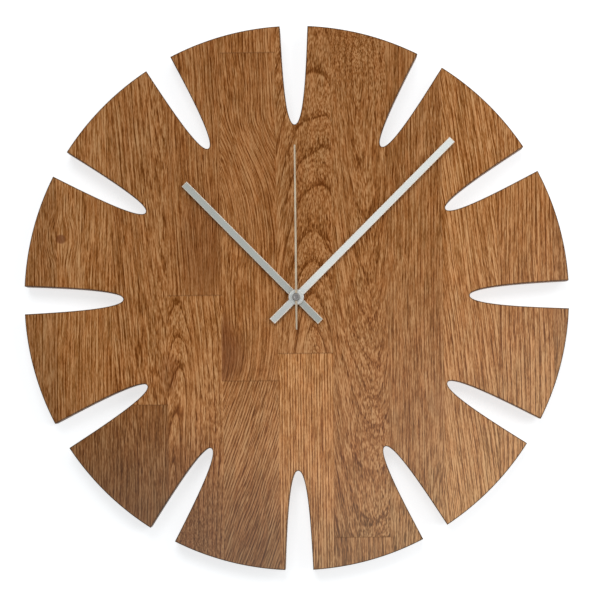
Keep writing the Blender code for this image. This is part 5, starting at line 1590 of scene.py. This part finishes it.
@dataclass
class SettingKnob:
    """The fluted knob that sets the hands, with a turning arrow in its dish.

    Its profile is rows of (radius, depth, share of the flutes), from the dish's middle to the bore's.
    """

    axis: complex = complex(16.7055, 7.7335)
    profile: Rows = (
        (0.0, 0.75, 0.0), (2.5, 0.75, 0.0), (4.65, 0.75, 0.0), (4.88, 0.70, 0.0), (5.0, 0.58, 0.0),
        (5.08, 0.45, 0.0), (5.25, 0.40, 0.0), (6.25, 0.40, 0.1), (6.60, 0.45, 0.5), (6.88, 0.56, 0.85),
        (7.0, 0.78, 1.0), (7.0, 1.65, 1.0), (6.85, 1.8, 1.0), (4.2, 1.8, 0.0), (1.4, 1.8, 0.0),
        (1.4, 1.3, 0.0), (0.0, 1.3, 0.0))
    dish_floor: float = 0.75
    flutes: int = 18
    flute_depth: float = 0.35
    flute_share: float = 0.125
    flute_steps: int = 12
    arrow: tuple[float, float, float, float] = (3.2, 0.5, 25.0, 155.0)

    def build(self) -> Piece:
        """Build the knob.

        A row's radius at an angle is its own radius less its share of the flutes, whose depth goes as
        1 + cos(n times the angle from a flute's middle), halved.

        Returns:
            The piece.
        """
        turn = circle(1.0, self.flutes * self.flute_steps)
        middle = self.flute_share * 2 * math.pi / self.flutes
        flute = self.flute_depth / 2 * (1 + np.cos(self.flutes * (np.angle(turn) - middle)))
        radii, depths, shares = table_of(self.profile)
        knob = Shape().add(place(self.axis + (radii - flute * shares) * turn, depths), closed=True)
        arrow = ruled(*arc_arrow(*self.arrow, self.axis), (
            (0.0, self.dish_floor + 0.3), (0.0, self.dish_floor - 0.14), (0.03, self.dish_floor - 0.18)))
        return combine(knob.build("setting_knob_fluted"), Joining.UNION, arrow)


@dataclass
class BatteryCell:
    """One cell on its side in the bay, with its nub towards the left of the dial.

    The profiles of its ends are rows of (way along from the end, radius, mark for bare metal).
    """

    flat_end: float = 25.2
    body: float = 49.0
    radius: float = 7.1
    flat_profile: Rows = (
        (0.0, 0.0, 1.0), (0.0, 4.6, 1.0), (-0.08, 4.9, 1.0), (-0.30, 5.2, 1.0), (-0.34, 5.7, 1.0),
        (-0.20, 5.8, 0.0), (-0.06, 6.1, 0.0), (-0.04, 6.4, 0.0), (-0.14, 6.8, 0.0), (-0.40, 7.06, 0.0))
    nub_profile: Rows = (
        (0.40, 7.06, 0.0), (0.14, 6.8, 0.0), (0.02, 6.4, 0.0), (0.02, 6.0, 0.0), (0.18, 5.8, 0.0),
        (0.30, 5.6, 1.0), (0.30, 3.6, 1.0), (0.10, 3.2, 1.0), (0.0, 2.85, 1.0), (-0.20, 2.7, 1.0),
        (-1.05, 2.65, 1.0), (-1.30, 2.5, 1.0), (-1.40, 2.15, 1.0), (-1.40, 0.0, 1.0))
    roll: float = 0.8
    depth: float = 9.2
    height: float = -19.5975
    steps: int = 96

    def build(self) -> Piece:
        """Build the cell: a profile turned round a line along X, rolled over at both ends of its film.

        Returns:
            The piece.
        """
        end, start = self.flat_end, self.flat_end - self.body
        film = np.linspace(end - self.roll, start + self.roll, 24)
        along, radii, marks = table_of([
            *((end + x, radius, mark) for x, radius, mark in self.flat_profile),
            *((x, self.radius, 0.0) for x in film),
            *((start + x, radius, mark) for x, radius, mark in self.nub_profile)])
        turn = circle(1.0, self.steps)
        points = along + 1j * (self.height + radii * turn.real)
        grid = place(points, self.depth + radii * turn.imag)
        return Shape().add(grid, marks, closed=True).build("battery_cell_jacketed")


@dataclass
class Studio:
    """The wall, the floor, the light and the camera."""

    wall_size: float = 4.0
    floor_drop: float = 1.15
    distance: float = 1.9
    azimuth: float = 0.85
    elevation: float = -1.8
    roll: float = -0.62
    frame_height: float = 0.3523
    aim_x: float = 0.35 * MM
    aim_z: float = -1.60 * MM
    face: float = 23.6 * MM
    ambient: float = 0.30

    def backdrop(self, name: str, colour: Colour, glow: Colour) -> Material:
        """A plain pale surface that a camera sees from its front only, and that blocks no light.

        Args:
            name: The material's name.
            colour: What it gives back of the light.
            glow: What it adds to that.

        Returns:
            The material.
        """
        graph = Graph(name)
        side = graph.add("ShaderNodeNewGeometry")
        front = 1.0 - Value(graph, side.outputs["Backfacing"])
        matt = graph.add("ShaderNodeBsdfDiffuse", None, {"Color": colour})
        light = graph.add("ShaderNodeEmission", None, {"Color": glow, "Strength": 1.0})
        both = graph.add("ShaderNodeAddShader", None, {0: matt.outputs[0], 1: light.outputs[0]})
        clear = graph.add("ShaderNodeBsdfTransparent")
        mixed = graph.add("ShaderNodeMixShader", None, {
            0: self.seen(graph) * front, 1: clear.outputs[0], 2: both.outputs[0]})
        graph.add("ShaderNodeOutputMaterial", None, {"Surface": mixed.outputs[0]})
        return graph.material

    def build_surroundings(self) -> None:
        """The wall behind the clock and the floor far below it."""
        span = np.linspace(-self.wall_size / 2, self.wall_size / 2, 2)
        x, up = np.meshgrid(span, span)
        wall_grid = np.stack([x, np.zeros_like(x), up], axis=-1)
        floor_grid = np.stack([x, up - self.wall_size / 2, np.full_like(x, -self.floor_drop)], axis=-1)
        for name, grid, way, colour, glow in (
                ("wall", wall_grid, (0.0, -1.0, 0.0), (0.46, 0.475, 0.49), (0.716, 0.725, 0.732)),
                ("floor", floor_grid, (0.0, 0.0, 1.0), (0.50, 0.50, 0.50), (0.58, 0.58, 0.58))):
            sheet = Shape().add(grid).build(name)
            if sheet.data.polygons[0].normal.dot(Vector(way)) < 0:
                sheet.data.flip_normals()
            sheet.data.materials.append(self.backdrop(name + "_paint", colour, glow))

    def build_light(self) -> None:
        """A key light from above the dial, one from the right, one from behind, and a pale world."""
        self.lamp("key", (-0.14, -2.00, 0.62), 0.66, 17.2, False)
        self.lamp("side", (1.25, -1.77, 0.36), 1.30, 18.8)
        self.lamp("rear", (0.60, 1.90, 0.80), 1.50, 16.0)
        world = bpy.data.worlds.new("room")
        bpy.context.scene.world = world
        world.use_nodes = True
        graph = Graph("room", world.node_tree)
        bright, soft = (
            graph.add("ShaderNodeBackground", None, {"Color": (1.0, 1.0, 1.0), "Strength": strength})
            for strength in (1.0, self.ambient))
        mixed = graph.add(
            "ShaderNodeMixShader", None, {0: self.seen(graph), 1: soft.outputs[0], 2: bright.outputs[0]})
        graph.add("ShaderNodeOutputWorld", None, {"Surface": mixed.outputs[0]})

    @staticmethod
    def seen(graph: Graph) -> Value:
        """What the camera sees, straight or in metal or glass.

        Args:
            graph: The graph that asks.

        Returns:
            1 for such rays, and 0 for others.
        """
        rays = graph.add("ShaderNodeLightPath").outputs
        camera, glossy, through = (
            Value(graph, rays[f"Is {kind} Ray"]) for kind in ("Camera", "Glossy", "Transmission"))
        return camera.most(glossy).most(through)

    @staticmethod
    def lamp(
            name: str, spot: tuple[float, float, float], size: float, power: float,
            glossy: bool = True) -> None:
        """Add a square soft light that looks at the dial.

        Args:
            name: The lamp's name.
            spot: Where it stands.
            size: Its side, in metres.
            power: Its power, in watts.
            glossy: Whether metal mirrors it.
        """
        data = bpy.data.lights.new(name, "AREA")
        data.shape = "SQUARE"
        data.size = size
        data.energy = power
        lamp = bpy.data.objects.new(name, data)
        lamp.location = spot
        lamp.visible_glossy = glossy
        aim = Vector((0.0, 0.0, DIAL_Z)) - Vector(spot)
        lamp.rotation_euler = aim.to_track_quat("-Z", "Y").to_euler()
        bpy.context.scene.collection.objects.link(lamp)

    def build_camera(self) -> None:
        """The camera at the photograph's angle, with the whole disc in a long lens."""
        data = bpy.data.cameras.new("camera")
        data.sensor_fit = "VERTICAL"
        data.sensor_height = 24.0
        data.lens = data.sensor_height * self.distance / self.frame_height
        data.clip_end = 50.0
        camera = bpy.data.objects.new("camera", data)
        turn, rise = math.radians(self.azimuth), math.radians(self.elevation)
        aim = Vector((self.aim_x, -self.face, DIAL_Z + self.aim_z))
        away = Vector((math.sin(turn) * math.cos(rise), -math.cos(turn) * math.cos(rise), math.sin(rise)))
        camera.location = aim + away * self.distance
        look = (-away).to_track_quat("-Z", "Y")
        roll = Euler((0.0, 0.0, math.radians(self.roll))).to_quaternion()
        camera.rotation_euler = (look @ roll).to_euler()
        bpy.context.scene.collection.objects.link(camera)
        bpy.context.scene.camera = camera

    def build(self) -> None:
        """Build the studio."""
        self.build_surroundings()
        self.build_light()
        self.build_camera()
        bpy.context.scene.view_settings.view_transform = "Standard"


# Sub-assemblies

@dataclass
class Dial:
    """The board, what hangs it, and what keeps it off the wall."""

    board: DialBoard = field(default_factory=DialBoard)
    plate: HangerPlate = field(default_factory=HangerPlate)

    def build(self) -> int:
        """Build and dress the dial's pieces.

        Returns:
            How many pieces there are.
        """
        fit(self.board.build(), "case", "oak", OiledOak().material(), "dial_board")
        # A metal's second colour is its painted highlight on marked edges
        steel = WorkedMetal("plate_steel", (0.56, 0.56, 0.55), (0.72, 0.72, 0.71), 0.38).material()
        fit(self.plate.build_plate(), "case", "plate_steel", steel, "hanger_plate")
        screw_steel = WorkedMetal("screw_steel", (0.62, 0.58, 0.46), (0.78, 0.75, 0.62), 0.30).material()
        for number, spot in enumerate(self.plate.screw_places(), start=1):
            screw = self.plate.build_screw(number, spot)
            fit(screw, "case", "screw_steel", screw_steel, f"hanger_screw_{number}")
        rubber = Moulded("bumper_rubber", (0.028, 0.028, 0.029), 0.62, 0.5, 0.02).material()
        for number in range(1, 5):
            node = f"wall_bumper_{number}"
            fit(WallBumper(node).build(), "case", "bumper_rubber", rubber, node)
        return 8


@dataclass
class Hands:
    """The three hands and the cap in front of them."""

    hour: BarHand = field(default_factory=lambda: BarHand(
        "hour_hand_bar", 93.6, 20.1, 4.1, 26.0, 315.9, 5.5))
    minute: BarHand = field(default_factory=lambda: BarHand(
        "minute_hand_bar", 130.0, 20.0, 4.15, 27.9, 45.3, 3.9))
    second: SecondHand = field(default_factory=SecondHand)

    def build(self) -> int:
        """Build and dress the hands.

        Returns:
            How many pieces there are.
        """
        # One aluminium as a painted shaded copy for the hour hand and a lit one for the minute hand
        shaded_hour_metal = WorkedMetal(
            "hour_hand_metal", (0.365, 0.382, 0.358), (0.80, 0.75, 0.64), 0.34, Brushing.LENGTHWISE,
            self.hour.clock_angle, 0.45, painted_tail_shade=0.09)
        lit_minute_metal = WorkedMetal(
            "minute_hand_metal", (0.655, 0.680, 0.660), (0.94, 0.89, 0.78), 0.34, Brushing.LENGTHWISE,
            self.minute.clock_angle, 0.45, painted_tail_shade=0.28)
        # Painted shade on the needle's edges and tail; a painted highlight ring on the cap
        second_metal = WorkedMetal(
            "second_hand_metal", (0.52, 0.44, 0.33), (0.40, 0.31, 0.22), 0.32, Brushing.LENGTHWISE,
            painted_tail_shade=0.18)
        cap_metal = WorkedMetal(
            "cap_metal", (0.196, 0.188, 0.184), (0.235, 0.225, 0.215), 0.30, Brushing.TURNED)
        fit(self.hour.build(), "hours", "hour_hand_metal", shaded_hour_metal.material(), "hour_hand")
        fit(self.minute.build(), "minutes", "minute_hand_metal", lit_minute_metal.material(), "minute_hand")
        fit(
            self.second.build_needle(), "seconds", "second_hand_metal", second_metal.material(),
            "second_hand")
        fit(self.second.build_cap(), "seconds", "cap_metal", cap_metal.material(), "second_hand_cap")
        return 4


@dataclass
class Movement:
    """The quartz movement: the pad that holds it, what shows behind, and the frame's own pieces."""

    pad: FoamPad = field(default_factory=FoamPad)
    cover: MovementCover = field(default_factory=MovementCover)
    knob: SettingKnob = field(default_factory=SettingKnob)
    cell: BatteryCell = field(default_factory=BatteryCell)

    def build(self) -> int:
        """Build the new pieces and dress what the frame carries.

        Returns:
            How many pieces there are.
        """
        pad = fit(self.pad.build(), "case", "foam", OpenFoam().material(), "mounting_pad")
        black = Moulded("case_plastic", (0.016, 0.016, 0.017), 0.44)
        fit(self.cover.build(), "case", "case_plastic", black.material(), "movement_case_rear")
        knob_plastic = Moulded("knob_plastic", (0.034, 0.034, 0.036), 0.36, 0.25, 0.006).material()
        fit(self.knob.build(), "setting", "knob_plastic", knob_plastic, "setting_knob")
        fit(self.cell.build(), "cell", "cell_jacket", CellJacket().material(), "battery_cell")
        white = Moulded("frame_plastic", (0.74, 0.73, 0.69), 0.42)
        cream = Moulded("wheel_plastic", (0.80, 0.77, 0.68), 0.36)
        brass = WorkedMetal("pipe_brass", (0.72, 0.52, 0.22), (0.80, 0.62, 0.30), 0.28, Brushing.TURNED)
        steel = WorkedMetal("arbor_steel", (0.55, 0.55, 0.56), (0.70, 0.70, 0.70), 0.30, Brushing.TURNED)
        finishes = {
            black: ("movement_case_front",),
            white: ("middle_plate", "rear_bridge", "coil_bobbin"),
            cream: (
                "intermediate_wheel", "second_wheel", "third_wheel", "centre_wheel", "motion_wheel",
                "hour_wheel", "setting_pinion", "rotor_arbor"),
            Moulded("circuit_laminate", (0.030, 0.160, 0.060), 0.42, 0.6, 0.02, 0.2): ("circuit_board",),
            Moulded("resin", (0.012, 0.012, 0.012), 0.22, 0.8, 0.01): ("chip_blob",),
            WorkedMetal("can_metal", (0.60, 0.60, 0.60), (0.70, 0.70, 0.70), 0.28): ("crystal_can",),
            WorkedMetal("copper_wire", (0.68, 0.27, 0.11), (0.70, 0.30, 0.12), 0.34): ("coil_winding",),
            WorkedMetal("soft_iron", (0.34, 0.34, 0.35), (0.50, 0.50, 0.50), 0.42): (
                "coil_core", "stator_plate"),
            WorkedMetal("magnet", (0.12, 0.12, 0.13), (0.2, 0.2, 0.2), 0.5): ("rotor_magnet",),
            WorkedMetal("contact_metal", (0.66, 0.66, 0.64), (0.80, 0.80, 0.78), 0.30): (
                "battery_contact_positive", "battery_contact_negative"),
            WorkedMetal("spring_steel", (0.50, 0.50, 0.52), (0.60, 0.60, 0.60), 0.30): ("clutch_spring",),
            steel: ("second_arbor",),
            brass: ("minute_pipe", "hour_hand_collet", "minute_hand_collet", "second_hand_socket"),
        }
        for finish, nodes in finishes.items():
            material = finish.material()
            for node in nodes:
                dress(node, material)
        return 4 + sum(len(nodes) for nodes in finishes.values())


def main() -> None:
    """Build the clock's sub-assemblies in order, then the studio round them."""
    logging.basicConfig(level=logging.INFO, format="%(message)s")
    for name, part in (("dial", Dial()), ("hands", Hands()), ("movement", Movement())):
        LOG.info("%s: %d pieces", name, part.build())
    Studio().build()
    LOG.info("studio: wall, floor, light and camera")


if __name__ == "__main__":
    main()
